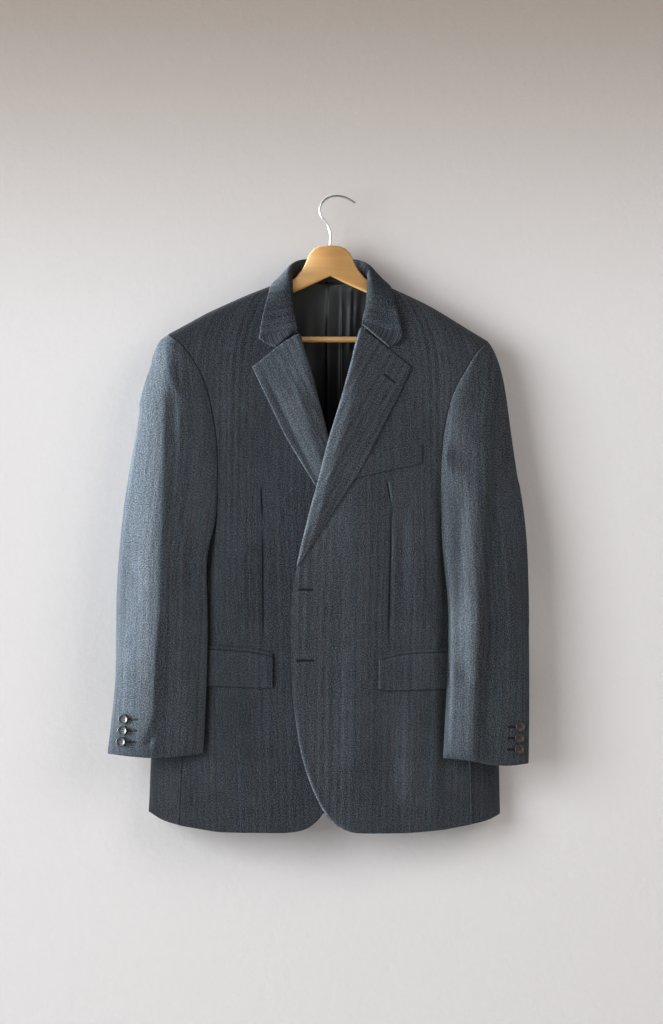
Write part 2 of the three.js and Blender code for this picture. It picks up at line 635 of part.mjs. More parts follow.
function liningFace(u, row) {
  const share = row / LINING_ROWS;
  const z = mix(NECK_BACK - 3, LINING_HEM, share ** 1.3);
  const reach = (side) => {
    const edge = table("z x", [
      [-420, side.backSeam(-400) - side.out * LINING_SET_BACK.underarm],
      [LINING_HEM, side.backSeam(LINING_HEM) - side.out * LINING_SET_BACK.hem],
    ]);
    const under = (x) => side.shoulder(x) - LINING_SET_BACK.shoulder - z;
    let x = edge.x(z);
    while (under(x) < 0) x -= side.out;
    return x;
  };
  const x = mix(reach(SIDES.left), reach(SIDES.right), u);
  const side = x < CENTRE ? SIDES.left : SIDES.right;
  const fade = 1 - THREE.MathUtils.smoothstep(-z, 400, 800);
  const inPleat = THREE.MathUtils.smoothstep(x, PLEAT.left - PLEAT.soft, PLEAT.left)
    - THREE.MathUtils.smoothstep(x, PLEAT.right, PLEAT.right + PLEAT.soft);
  const smoothDown = THREE.MathUtils.smoothstep(-z, 124, 180);
  const hang = mix(LINING_HANG.top, LINING_HANG.below, THREE.MathUtils.smoothstep(-z, 124, 200));
  const pleat = PLEAT.rise * inPleat * fade * smoothDown;
  return point(x, backY(side, x, z) - CLOTH - hang - LINING - pleat, z);
}
const lining = wall(liningFace, LINING_COLUMNS, LINING_ROWS, LINING, point(CENTRE, 400, -400));
add("back_lining", lining.geometry, DARK_LINING);

// Where a height and an X meet on the body's front: how far round that is.
function aroundAt(side, x, z) {
  return (x - side.inner(z)) / (side.seam(z) - side.inner(z));
}

// A flat piece sewn on a body surface: its points are the surface's own, moved out.
// start is an X on the front, and the piece goes on round the side seam for its whole length.
function layPiece(name, side, { from, length, top, foot, gap, thick, columns, rows }) {
  const face = (u, row) => {
    const along = u * length;
    const share = row / rows;
    const z = mix(top(along), foot(along), share);
    const first = aroundAt(side, from, z);
    const frontLeft = Math.abs(side.seam(z) - from);
    const sideLength = bodyPoint(side, 1, z).distanceTo(bodyPoint(side, 2, z)) * 1.04;
    const around = along < frontLeft ? mix(first, 1, along / frontLeft) : 1 + (along - frontLeft) / sideLength;
    const here = bodyPoint(side, around, z);
    const ahead = bodyPoint(side, around + 0.04, z).sub(bodyPoint(side, around - 0.04, z)).normalize();
    const out = point(ahead.y, -ahead.x, 0).multiplyScalar(side.out < 0 ? -1 : 1);
    if (out.y > 0) out.negate();
    return here.addScaledVector(out, gap + thick);
  };
  const piece = wall(face, columns, rows, thick, point(CENTRE, 0, -500));
  return add(name, piece.geometry, WOOL);
}

for (const [name, side] of Object.entries(SIDES)) {
  const { from, length } = side.flap;
  const jetFoot = (along) => side.flapTop(along) + 0.5;
  const jetTop = (along) => jetFoot(along) + JET_HEIGHT;
  layPiece("pocket_flap_" + name, side, {
    from, length, top: side.flapTop, foot: side.flapFoot, gap: 1.95, thick: FLAP_WALL, columns: 14, rows: 4,
  });
  layPiece("pocket_jet_" + name, side, {
    from, length, top: jetTop, foot: jetFoot, gap: 1.8, thick: 1.3, columns: 14, rows: 1,
  });
}

// Breast welt, whose inner end is under the right lapel
const WELT = { from: 27, length: 95, thick: 1.3 };
layPiece("breast_welt", SIDES.right, {
  ...WELT,
  top: (along) => -372.5 + 21 * (along / WELT.length),
  foot: (along) => -401 + 21 * (along / WELT.length),
  gap: 0.6,
  columns: 8,
  rows: 3,
});

// Buttons: a turned disc with a raised rim round a dished middle
function buttonGeometry({ radius, thick }) {
  const profile = [
    [0, -thick / 2], [radius * 0.85, -thick / 2], [radius, 0], [radius * 0.88, thick / 2],
    [radius * 0.6, thick * 0.15], [0, thick * 0.1],
  ];
  const disc = new THREE.LatheGeometry(profile.map(([r, h]) => new THREE.Vector2(r, h)), 12);
  disc.rotateX(Math.PI / 2);
  return disc;
}

function seatButton(name, size, at, along) {
  const out = point(along.y, -along.x, 0).normalize();
  if (out.y > 0) out.negate();
  const button = add(name, buttonGeometry(size), HORN);
  button.position.copy(at).addScaledVector(out, size.thick / 2 + 0.5);
  button.quaternion.setFromUnitVectors(point(0, 0, 1), out);
}

// Share round the sleeve's loop where its front face has a given X at a given row
function sleeveShareAt(name, x, row) {
  let low = 0.02;
  let high = TOP_SLEEVE_SHARE / 2;
  const { out } = SIDES[name];
  for (let pass = 0; pass < 30; pass += 1) {
    const middle = (low + high) / 2;
    if (out * sleevePoint(name, middle, row).x < out * x) low = middle;
    else high = middle;
  }
  return low;
}

for (const [name, side] of Object.entries(SIDES))
  side.cuffButtons.forEach(([x, z], k) => {
    const row = YOKE + CUFF_ROWS * ((z - UNDERARM) / (side.cuffMiddle - UNDERARM));
    const share = sleeveShareAt(name, x, row);
    const at = sleevePoint(name, share, row);
    const along = sleevePoint(name, share + 0.01, row).sub(sleevePoint(name, share - 0.01, row));
    seatButton("cuff_button_" + name + "_" + (k + 1), CUFF_BUTTON, point(at.x, at.y, z), along);
  });

// Front buttons, on the left front where the right one covers them
const FRONT_BUTTON_SETBACK = 20;
[-560, -660].forEach((z, k) => {
  const side = SIDES.left;
  const x = side.inner(z) - FRONT_BUTTON_SETBACK;
  const along = point(x + 4, frontY(side, x + 4, z), 0).sub(point(x - 4, frontY(side, x - 4, z), 0));
  seatButton("front_button_" + (k + 1), FRONT_BUTTON, point(x, frontY(side, x, z), z), along);
});

// Hanger: a shaped board with blocks at its arms' ends, the trouser bar between them and the wire hook.
// Half of the board's outline, as distance from its axis and height, over the top and back below.
const BOARD_TOP = [
  [0, -68.8], [14, -70], [22.5, -73.8], [29, -80.5], [33, -89.5], [37, -98.5], [42.5, -107], [53, -118.3],
  [68, -126.5], [90, -135.6], [120, -148.3], [150, -163.7], [175, -179], [188, -187.2],
];
const BOARD_END = [[195, -193], [198, -200], [196, -208], [190, -212], [181, -212], [177, -208], [177, -199]];
const BOARD_FOOT = [[150, -184], [120, -167], [90, -153], [53, -137], [27, -125.5], [0, -112.8]];
const BAR_Z = -203;
const BAR_REACH = 176.5;

function boardShape() {
  const place = ([reach, z], out) => new THREE.Vector2(HANGER_AXIS + out * reach, z);
  const half = (rows, out) => rows.map((row) => place(row, out));
  const rightSide = [...half(BOARD_TOP, 1), ...half(BOARD_END, 1), ...half(BOARD_FOOT, 1)];
  const leftSide = [...BOARD_TOP, ...BOARD_END, ...BOARD_FOOT].reverse().map((row) => place(row, -1));
  const shape = new THREE.Shape();
  shape.moveTo(rightSide[0].x, rightSide[0].y);
  shape.splineThru(rightSide.slice(1, BOARD_TOP.length + BOARD_END.length));
  shape.splineThru(rightSide.slice(BOARD_TOP.length + BOARD_END.length));
  shape.splineThru(leftSide.slice(1, BOARD_FOOT.length));
  shape.splineThru(leftSide.slice(BOARD_FOOT.length, -1));
  return shape;
}

const flatDepth = BOARD_THICK - 2 * BOARD_ROUND;
const board = new THREE.ExtrudeGeometry(boardShape(), {
  depth: flatDepth, bevelEnabled: true, bevelThickness: BOARD_ROUND, bevelSize: BOARD_ROUND,
  bevelOffset: -BOARD_ROUND, bevelSegments: 2, curveSegments: 1,
});
board.rotateX(Math.PI / 2);
board.translate(0, flatDepth / 2, 0);
add("hanger_board", board, BEECH);

const bar = new THREE.CylinderGeometry(BAR_RADIUS, BAR_RADIUS, 2 * (BAR_REACH - SEAM_GAP), 16);
bar.rotateZ(Math.PI / 2);
const barMesh = add("trouser_bar", bar, BEECH);
barMesh.position.set(HANGER_AXIS, 0, BAR_Z);

// The hook's route, from the board up and over its bow, as X and Z of the wire's middle
const HOOK_ROUTE = [
  [-8.5, -68.4], [-7.8, -60], [-7.8, -50], [-13, -38], [-20.5, -28], [-23.4, -18], [-20, -8], [-11, -0.4],
  [0, WIRE_RADIUS], [14, -0.6], [27.5, -8.5],
];
const route = new THREE.CatmullRomCurve3(HOOK_ROUTE.map(([x, z]) => point(x, 0, z)), false, "centripetal");
const wireSection = new THREE.Shape().absarc(0, 0, WIRE_RADIUS, 0, 2 * Math.PI);
const wire = new THREE.ExtrudeGeometry(wireSection, { extrudePath: route, steps: 34, curveSegments: 4 });
add("hook", wire, CHROME);

export default blazer;
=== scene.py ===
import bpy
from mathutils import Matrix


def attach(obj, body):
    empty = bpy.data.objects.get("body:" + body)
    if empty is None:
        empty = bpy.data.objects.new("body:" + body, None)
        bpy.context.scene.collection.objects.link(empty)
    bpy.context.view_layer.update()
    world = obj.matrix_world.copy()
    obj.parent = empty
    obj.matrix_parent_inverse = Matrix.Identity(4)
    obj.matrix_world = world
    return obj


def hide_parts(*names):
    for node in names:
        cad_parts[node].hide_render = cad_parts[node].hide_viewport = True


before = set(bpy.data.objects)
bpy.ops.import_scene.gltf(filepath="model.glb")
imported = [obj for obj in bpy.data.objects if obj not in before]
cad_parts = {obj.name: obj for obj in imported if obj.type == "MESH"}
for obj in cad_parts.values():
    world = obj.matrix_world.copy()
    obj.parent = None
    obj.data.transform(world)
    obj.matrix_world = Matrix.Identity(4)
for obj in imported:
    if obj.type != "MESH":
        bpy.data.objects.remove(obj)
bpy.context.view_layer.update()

import math

import bmesh
import bpy
import numpy as np
from mathutils import Matrix, Vector
from mathutils.bvhtree import BVHTree
from mathutils.kdtree import KDTree

scene = bpy.context.scene
scene.view_settings.view_transform = "Standard"

# Camera, wall, floor and light.
# The blazer hangs on a pale wall and is seen square on, from its middle height and from far off. The wall is
# clear from behind, so that the back can be looked at. A window on the left sends light along the wall.
VIEW_HEIGHT = 1.454
VIEW_DISTANCE = 10.0
SENSOR_HEIGHT = 36
LOOK_AT = Vector((-0.0064, -0.045, -0.449))
WALL_MIDDLE = (0, 0.062, -0.3)
WALL_SIZE = (7, 5)
WALL_PAINTED_SHADE = (0.42, -0.26)  # heights between which painted shade turns the wall from its dark top to its pale paint
FLOOR_MIDDLE = (0, -1.0, -1.75)
FLOOR_SIZE = (7, 7)
NO_SHADE = (1, 0)
UPRIGHT = Matrix.Rotation(math.pi / 2, 4, "X")
LEVEL = Matrix.Identity(4)


def hex_colour(text):
    """An sRGB hex value as a linear colour."""
    parts = [int(text[k:k + 2], 16) / 255 for k in (1, 3, 5)]
    return [p / 12.92 if p <= 0.04045 else ((p + 0.055) / 1.055) ** 2.4 for p in parts] + [1.0]


def add_node(tree, kind, settings=None, **links):
    """Add a node. Inputs go by name, or as i0, i1 and so on by number: a value, or a socket to link."""
    made = tree.nodes.new(kind)
    for name, value in (settings or {}).items():
        setattr(made, name, value)
    for name, value in links.items():
        key = int(name[1:]) if name[0] == "i" and name[1:].isdigit() else name.replace("_", " ")
        if isinstance(value, bpy.types.NodeSocket):
            tree.links.new(value, made.inputs[key])
        else:
            made.inputs[key].default_value = value
    return made


def new_material(name):
    material = bpy.data.materials.new(name)
    material.use_nodes = True
    tree = material.node_tree
    tree.nodes.clear()
    return material, tree


camera = bpy.data.objects.new("camera", bpy.data.cameras.new("camera"))
camera.location = LOOK_AT + Vector((0, -VIEW_DISTANCE, 0))
camera.rotation_euler = (math.pi / 2, 0, 0)
camera.data.sensor_fit = "VERTICAL"
camera.data.sensor_height = SENSOR_HEIGHT
camera.data.lens = SENSOR_HEIGHT * VIEW_DISTANCE / VIEW_HEIGHT
scene.collection.objects.link(camera)
scene.camera = camera


def plaster_material(name, light_end, dark_end, heights):
    """Painted plaster: matt, gritty at about 12 mm, with painted shade: dark at the first height and light
    at the second.
    """
    material, tree = new_material(name)
    where = add_node(tree, "ShaderNodeTexCoord").outputs["Object"]
    height = add_node(tree, "ShaderNodeSeparateXYZ", Vector=where).outputs["Z"]
    # painted shade: the colour runs from the dark end at the first height to the light end at the second, as
    # light falling off up the wall
    share = add_node(tree, "ShaderNodeMapRange", {"interpolation_type": "SMOOTHSTEP"}, Value=height,
                     From_Min=heights[0], From_Max=heights[1]).outputs[0]
    tint = add_node(tree, "ShaderNodeMix", {"data_type": "RGBA"}, i0=share, i6=hex_colour(dark_end),
                    i7=hex_colour(light_end)).outputs[2]
    grit = add_node(tree, "ShaderNodeTexNoise", Vector=where, Scale=85.0, Detail=7.0, Roughness=0.6)
    bump = add_node(tree, "ShaderNodeBump", Strength=0.45, Distance=0.0025, Height=grit.outputs["Fac"])
    paint = add_node(tree, "ShaderNodeBsdfPrincipled", Base_Color=tint, Roughness=0.9,
                     Normal=bump.outputs[0])
    clear = add_node(tree, "ShaderNodeBsdfTransparent")
    back_side = add_node(tree, "ShaderNodeNewGeometry").outputs["Backfacing"]
    both = add_node(tree, "ShaderNodeMixShader", Fac=back_side, i1=paint.outputs[0], i2=clear.outputs[0])
    add_node(tree, "ShaderNodeOutputMaterial", Surface=both.outputs[0])
    return material


def stage_plane(name, centre, size, turn, material):
    bm = bmesh.new()
    bmesh.ops.create_grid(bm, x_segments=1, y_segments=1, size=0.5)
    place = Matrix.Translation(centre) @ turn @ Matrix.Diagonal((*size, 1, 1))
    bmesh.ops.transform(bm, matrix=place, verts=bm.verts)
    plane = bpy.data.objects.new(name, bpy.data.meshes.new(name))
    bm.to_mesh(plane.data)
    bm.free()
    plane.data.materials.append(material)
    scene.collection.objects.link(plane)
    return plane


# painted shade: the wall's paint darkens towards its top; the floor's two ends are the same colour, so it
# has none
wall_paint = plaster_material("wall paint", "#e6e3e3", "#9f9287", WALL_PAINTED_SHADE)
floor_paint = plaster_material("floor paint", "#dcd9d6", "#dcd9d6", NO_SHADE)
wall = stage_plane("wall", WALL_MIDDLE, WALL_SIZE, UPRIGHT, wall_paint)
floor = stage_plane("floor", FLOOR_MIDDLE, FLOOR_SIZE, LEVEL, floor_paint)


def soft_light(name, place, towards, size, power, colour):
    lamp = bpy.data.objects.new(name, bpy.data.lights.new(name, "AREA"))
    lamp.data.shape = "RECTANGLE"
    lamp.data.size, lamp.data.size_y = size
    lamp.data.energy = power
    lamp.data.color = colour
    lamp.location = place
    lamp.rotation_euler = (Vector(towards) - Vector(place)).to_track_quat("-Z", "Y").to_euler()
    scene.collection.objects.link(lamp)
    return lamp


soft_light("window", (-2.6, -3.4, 0.1), (0, 0, -0.5), (3.0, 2.4), 142, (0.93, 0.97, 1.0))
room = soft_light("room", (2.4, -3.2, 0.9), (0, 0, -0.5), (2.4, 2.4), 44, (1.0, 0.94, 0.88))
behind = soft_light("behind", (-1.2, 2.8, 0.6), (0, 0, -0.4), (2.4, 2.4), 110, (1.0, 0.98, 0.95))
side_window = soft_light("side window", (-3.6, -0.13, -0.45), (0, -0.1, -0.45), (0.2, 1.8), 780,
                         (0.82, 0.94, 1.0))


def leave_out(lamp, role, *pieces):
    """As receivers these pieces take no light from the lamp, and as blockers they cast no shade in it."""
    if getattr(lamp.light_linking, role) is None:
        setattr(lamp.light_linking, role, bpy.data.collections.new(lamp.name + " " + role))
    left_out = getattr(lamp.light_linking, role)
    for piece in pieces:
        left_out.objects.link(piece)
    for entry in left_out.collection_objects:
        entry.light_linking.link_state = "EXCLUDE"


leave_out(side_window, "receiver_collection", wall, floor)
leave_out(behind, "receiver_collection", wall, floor)
leave_out(behind, "blocker_collection", wall, floor)
world = bpy.data.worlds.new("room light")
world.use_nodes = True
world.node_tree.nodes["Background"].inputs["Color"].default_value = hex_colour("#e2e0de")
world.node_tree.nodes["Background"].inputs["Strength"].default_value = 0.2
scene.world = world

# Wool cloth: worsted herringbone in blue-grey and charcoal yarn.
# Every panel is a fine copy of its CAD wall, with the rims kept sharp, the seams let in and the folds
# pressed in. The weave follows each piece's own grain, kept in its UV map in metres.
FINE = 3
MERGE = 0.00002  # corners closer than this are one
SHARP = 0.9  # a cut edge's faces meet at more than this angle
CORNER = 2.6  # a cut edge that turns more sharply than this angle keeps its corner
CUT_SPACE = 0.003  # a seam or dart is cut along its line, and again this far to each side
SEAM_WIDTH = 1.5  # half width in mm of the painted shade along a stitched seam or dart
# full strength of the painted shade down a seam's middle, in the mm that fold_depth takes
SEAM_PAINTED_SHADE = 1000
FOLD_START = (-0.05, 0.22)  # shares of a fold's length over which it rises
FOLD_END = (0.7, 1.05)  # and over which it dies away
WAVES = 7
WAVE_SIZE = 42  # mm, the middle size of the waves
FULL_FOLDS = 0.012  # how far in from its cut edge a piece has its folds at full height
PINNED = 0.85  # share of their height that the folds lose at the cut edge
LET_IN = 0.0009
LET_IN_WIDTH = 0.0022
SQUARE_ON = (0.25, 0.75)  # cosines to the way out between which a surface's own normal takes over
COLUMN = 0.0056  # width of a herringbone column; the real one is about 4 mm, coarsened to show
TWILL = 0.0021  # spacing of the twill lines; the real one is about 1 mm
YARN_SCALE = (900, 45, 1)  # yarns 1.1 mm wide, uneven every 22 mm; the real ones are 0.5 mm, coarsened
STREAK_SCALE = (190, 2.2, 1)  # streaks 5 mm wide and 450 mm long
NAP_SCALE = 620.0  # nap of 1.6 mm; the real fibres are finer, coarsened to show
CLOUD_SCALE = 9.0  # faint clouds of 110 mm
FINE_SHARES = (0.16, 0.4, 1.3)  # how much the twill lines, the yarns and the nap change the tone
BROAD_SHARES = (0.22, 0.12, 0.05)  # the same for lengthwise streaks, slow clouds and the columns
CONTRAST = 0.29  # half the spread of tones between the darkest and the lightest yarn


def fine_copy(node, levels, cuts=()):
    """The CAD solid merged, cut along each line from one X, Z to another in mm, and subdivided."""
    bm = bmesh.new()
    bm.from_mesh(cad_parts[node].data)
    bmesh.ops.remove_doubles(bm, verts=bm.verts, dist=MERGE)
    bmesh.ops.join_triangles(bm, faces=bm.faces, angle_face_threshold=1.0, angle_shape_threshold=3.1)
    for x0, z0, x1, z1 in cuts:
        across = Vector((z1 - z0, 0, x0 - x1)).normalized()
        for aside in (-CUT_SPACE, 0, CUT_SPACE):
            start = Vector((x0, 0, z0)) / 1000 + across * aside
            bmesh.ops.bisect_plane(bm, geom=bm.verts[:] + bm.edges[:] + bm.faces[:], dist=MERGE / 2,
                                   plane_co=start, plane_no=across)
    crease = bm.edges.layers.float.new("crease_edge")
    for edge in bm.edges:
        if len(edge.link_faces) == 2 and edge.calc_face_angle() > SHARP:
            edge[crease] = 1.0
    corner = bm.verts.layers.float.new("crease_vert")
    for vert in bm.verts:
        rims = [edge.other_vert(vert).co - vert.co for edge in vert.link_edges if edge[crease] == 1.0]
        if len(rims) == 2 and rims[0].angle(rims[1]) < CORNER:
            vert[corner] = 1.0
    rough = bpy.data.objects.new(node + "_rough", bpy.data.meshes.new(node + "_rough"))
    bm.to_mesh(rough.data)
    bm.free()
    scene.collection.objects.link(rough)
    fine = rough.modifiers.new("fine", "SUBSURF")
    fine.levels = fine.render_levels = levels
    fine.boundary_smooth = "PRESERVE_CORNERS"
    mesh = bpy.data.meshes.new_from_object(rough.evaluated_get(bpy.context.evaluated_depsgraph_get()))
    bpy.data.objects.remove(rough)
    return mesh


def rim_distance(mesh, places):
    """Distance of each vertex from the piece's cut edge."""
    bm = bmesh.new()
    bm.from_mesh(mesh)
    bm.edges.ensure_lookup_table()
    sharp = [edge for edge in bm.edges if len(edge.link_faces) == 2 and edge.calc_face_angle() > SHARP]
    rim = {vert.index for edge in sharp for vert in edge.verts}
    bm.free()
    tree = KDTree(len(rim))
    for k in rim:
        tree.insert(places[k], k)
    tree.balance()
    return np.array([tree.find(place)[2] for place in places])


def soft_step(values, low, high):
    t = np.clip((values - low) / (high - low), 0, 1)
    return t * t * (3 - 2 * t)


def fold_depth(folds, x, z):
    """Sum of listed folds. Each is a line from one X, Z down to another in mm, with a half width, or a
    left and a right one for a sharper crest, a height in mm (a trough under 0), and how far its middle
    bows."""
    total = np.zeros_like(x)
    for x0, z0, x1, z1, half, height, bow in folds:
        left, right = half if isinstance(half, tuple) else (half, half)
        crest = 1.5 if isinstance(half, tuple) else 2.0
        run = np.array([x1 - x0, z1 - z0], float) / 1000
        length = np.hypot(*run)
        run = run / length
        dx, dz = x - x0 / 1000, z - z0 / 1000
        along = (dx * run[0] + dz * run[1]) / length
        inside = np.clip(along, 0, 1)
        across = dx * run[1] - dz * run[0] - bow / 1000 * np.sin(np.pi * inside)
        fade = soft_step(along, *FOLD_START) * (1 - soft_step(along, *FOLD_END))
        reach = np.where(across > 0, left, right) / 1000
        total += height / 1000 * fade * np.exp(-np.abs(across / reach) ** crest)
    return total


def waves(x, z, seed, height):
    """Slow unevenness of hanging cloth, from a few seeded waves, with its height in mm."""
    random = np.random.default_rng(seed)
    total = np.zeros_like(x)
    for _ in range(WAVES):
        stretch = WAVE_SIZE * random.uniform(0.6, 1.6) / 1000
        lean = random.normal(0, 0.28)
        phase = random.uniform(0, 6.3)
        drift = np.sin(z / (WAVE_SIZE / 1000 * 5) + random.uniform(0, 6.3))
        strength = random.uniform(0.4, 1)
        total += np.sin((x * np.cos(lean) + z * np.sin(lean)) / stretch + phase + drift) * strength
    return total / WAVES * height / 1000


def wool_material():
    """Piece-dyed worsted in herringbone columns: matt, mottled by its nap, with fine lengthwise streaks, and
    painted shade, near black, along its seams and darts.
    """
    material, tree = new_material("worsted herringbone wool")
    grain = add_node(tree, "ShaderNodeUVMap", {"uv_map": "grain"}).outputs[0]
    place = add_node(tree, "ShaderNodeSeparateXYZ", Vector=grain)
    column = add_node(tree, "ShaderNodeMath", {"operation": "DIVIDE"}, i0=place.outputs[0], i1=COLUMN)
    mirrored = add_node(tree, "ShaderNodeMath", {"operation": "PINGPONG"}, i0=column.outputs[0], i1=1.0)
    slant = add_node(tree, "ShaderNodeMath", {"operation": "MULTIPLY"}, i0=mirrored.outputs[0],
                     i1=COLUMN / TWILL)
    course = add_node(tree, "ShaderNodeMath", {"operation": "DIVIDE"}, i0=place.outputs[1], i1=TWILL)
    twill = add_node(tree, "ShaderNodeMath", {"operation": "ADD"}, i0=course.outputs[0], i1=slant.outputs[0])
    turn = add_node(tree, "ShaderNodeMath", {"operation": "MULTIPLY"}, i0=twill.outputs[0], i1=2 * math.pi)
    rib = add_node(tree, "ShaderNodeMath", {"operation": "SINE"}, i0=turn.outputs[0]).outputs[0]
    lengthwise = add_node(tree, "ShaderNodeMapping", Vector=grain, Scale=YARN_SCALE).outputs[0]
    yarn = add_node(tree, "ShaderNodeTexNoise", Vector=lengthwise, Scale=1.0, Detail=3.0).outputs["Fac"]
    long_way = add_node(tree, "ShaderNodeMapping", Vector=grain, Scale=STREAK_SCALE).outputs[0]
    streak = add_node(tree, "ShaderNodeTexNoise", Vector=long_way, Scale=1.0, Detail=4.0).outputs["Fac"]
    nap = add_node(tree, "ShaderNodeTexNoise", Vector=grain, Scale=NAP_SCALE, Detail=4.0).outputs["Fac"]
    cloud = add_node(tree, "ShaderNodeTexNoise", Vector=grain, Scale=CLOUD_SCALE, Detail=3.0).outputs["Fac"]
    fine = add_node(tree, "ShaderNodeCombineXYZ", X=rib, Y=yarn, Z=nap).outputs[0]
    broad = add_node(tree, "ShaderNodeCombineXYZ", X=streak, Y=cloud, Z=mirrored.outputs[0]).outputs[0]
    fine_part = add_node(tree, "ShaderNodeVectorMath", {"operation": "DOT_PRODUCT"}, i0=fine,
                         i1=FINE_SHARES).outputs[1]
    broad_part = add_node(tree, "ShaderNodeVectorMath", {"operation": "DOT_PRODUCT"}, i0=broad,
                          i1=BROAD_SHARES).outputs[1]
    tone = add_node(tree, "ShaderNodeMath", {"operation": "ADD"}, i0=fine_part, i1=broad_part).outputs[0]
    even = sum(FINE_SHARES[1:] + BROAD_SHARES) / 2
    ramp = add_node(tree, "ShaderNodeMapRange", Value=tone, From_Min=even - CONTRAST,
                    From_Max=even + CONTRAST).outputs[0]
    dyed = add_node(tree, "ShaderNodeValToRGB", Fac=ramp)
    dark, light = dyed.color_ramp.elements
    dark.position = 0.1
    dark.color = hex_colour("#17191c")
    light.position = 0.92
    light.color = hex_colour("#5f666d")
    middle = dyed.color_ramp.elements.new(0.5)
    middle.color = hex_colour("#32353a")
    patch = add_node(tree, "ShaderNodeTexNoise", Vector=long_way, Scale=0.35, Detail=2.0).outputs["Fac"]
    hue = add_node(tree, "ShaderNodeMix", {"data_type": "RGBA"}, i0=patch, i6=hex_colour("#ffeee8"),
                   i7=hex_colour("#e6f6ff")).outputs[2]
    tinted = add_node(tree, "ShaderNodeMix", {"data_type": "RGBA", "blend_type": "MULTIPLY"}, i0=1.0,
                      i6=dyed.outputs["Color"], i7=hue).outputs[2]
    # painted shade: the seam attribute darkens the cloth towards near black along seams and darts, where
    # their grooves would be in shade
    seam = add_node(tree, "ShaderNodeAttribute", {"attribute_name": "seam"}).outputs["Fac"]
    painted_seam_shade = add_node(tree, "ShaderNodeMix", {"data_type": "RGBA"}, i0=seam, i6=tinted,
                        i7=hex_colour("#08090a")).outputs[2]
    height = add_node(tree, "ShaderNodeMath", {"operation": "MULTIPLY_ADD"}, i0=rib, i1=0.4, i2=nap)
    bump = add_node(tree, "ShaderNodeBump", Strength=0.35, Distance=0.0005, Height=height.outputs[0])
    cloth = add_node(tree, "ShaderNodeBsdfPrincipled", Base_Color=painted_seam_shade, Roughness=0.88,
                     Sheen_Weight=0.05, Sheen_Roughness=0.5, Specular_IOR_Level=0.15, Normal=bump.outputs[0])
    add_node(tree, "ShaderNodeOutputMaterial", Surface=cloth.outputs[0])
    return material


wool = wool_material()


def grain_map(mesh, across, along):
    layer = mesh.uv_layers.new(name="grain")
    corners = np.empty(len(mesh.loops), int)
    mesh.loops.foreach_get("vertex_index", corners)
    pairs = np.stack([across[corners], along[corners]], axis=1)
    layer.data.foreach_set("uv", pairs.ravel())


def straight_grain(x, y, z):
    return x, z


def add_piece(name, mesh, material, slot, *replaced):
    """Put a finished mesh in the scene, in place of the CAD nodes that it replaces."""
    piece = bpy.data.objects.new(name, mesh)
    piece.data.materials.append(material)
    scene.collection.objects.link(piece)
    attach(piece, "root")
    if replaced:
        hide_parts(*replaced)
    return piece


def cloth_piece(node, outward, folds, seed, grain=straight_grain, sway=0.8, let_in=LET_IN,
                let_in_width=LET_IN_WIDTH, cuts=(), stand_off=0.0, pinned=PINNED, material=wool,
                slot="herringbone_wool"):
    """Dress a CAD wall as cloth: folds, and waves of sway mm, push it along the way out, which outward gives
    for each place. Its cut edge is let in, and its cuts are seams, with painted shade along them. One that
    isn't pinned moves one way only, with the cloth that it lies on."""
    mesh = fine_copy(node, FINE, cuts)
    places = np.empty(len(mesh.vertices) * 3)
    mesh.vertices.foreach_get("co", places)
    places = places.reshape(-1, 3)
    normals = np.array([normal.vector[:] for normal in mesh.vertex_normals])
    x, y, z = places.T
    rim = rim_distance(mesh, places)
    rise = fold_depth(folds, x, z) + waves(x, z, seed, sway) + stand_off
    rise *= soft_step(rim, 0.0, FULL_FOLDS) * pinned + 1 - pinned
    rise -= let_in * np.clip(1 - rim / let_in_width, 0, 1) ** 2
    out = outward(places)
    steady = out / np.linalg.norm(out, axis=1)[:, None]
    sign = np.sign((normals * out).sum(axis=1))
    square = np.abs((normals * steady).sum(axis=1))[:, None]
    share = soft_step(square, *SQUARE_ON) if pinned else 0
    way = normals * sign[:, None] * share + steady * (1 - share)
    way = way / np.linalg.norm(way, axis=1)[:, None]
    # painted shade: the seam attribute is 1 down the middle of each cut and fades to each side
    seam = mesh.attributes.new("seam", "FLOAT", "POINT")
    seam.data.foreach_set("value", fold_depth([(*cut, SEAM_WIDTH, SEAM_PAINTED_SHADE, 0) for cut in cuts], x, z))
    grain_map(mesh, *grain(x, y, z))
    mesh.vertices.foreach_set("co", (places + way * rise[:, None]).ravel())
    mesh.update()
    mesh.shade_smooth()
    return add_piece(node + "_cloth", mesh, material, slot, node)


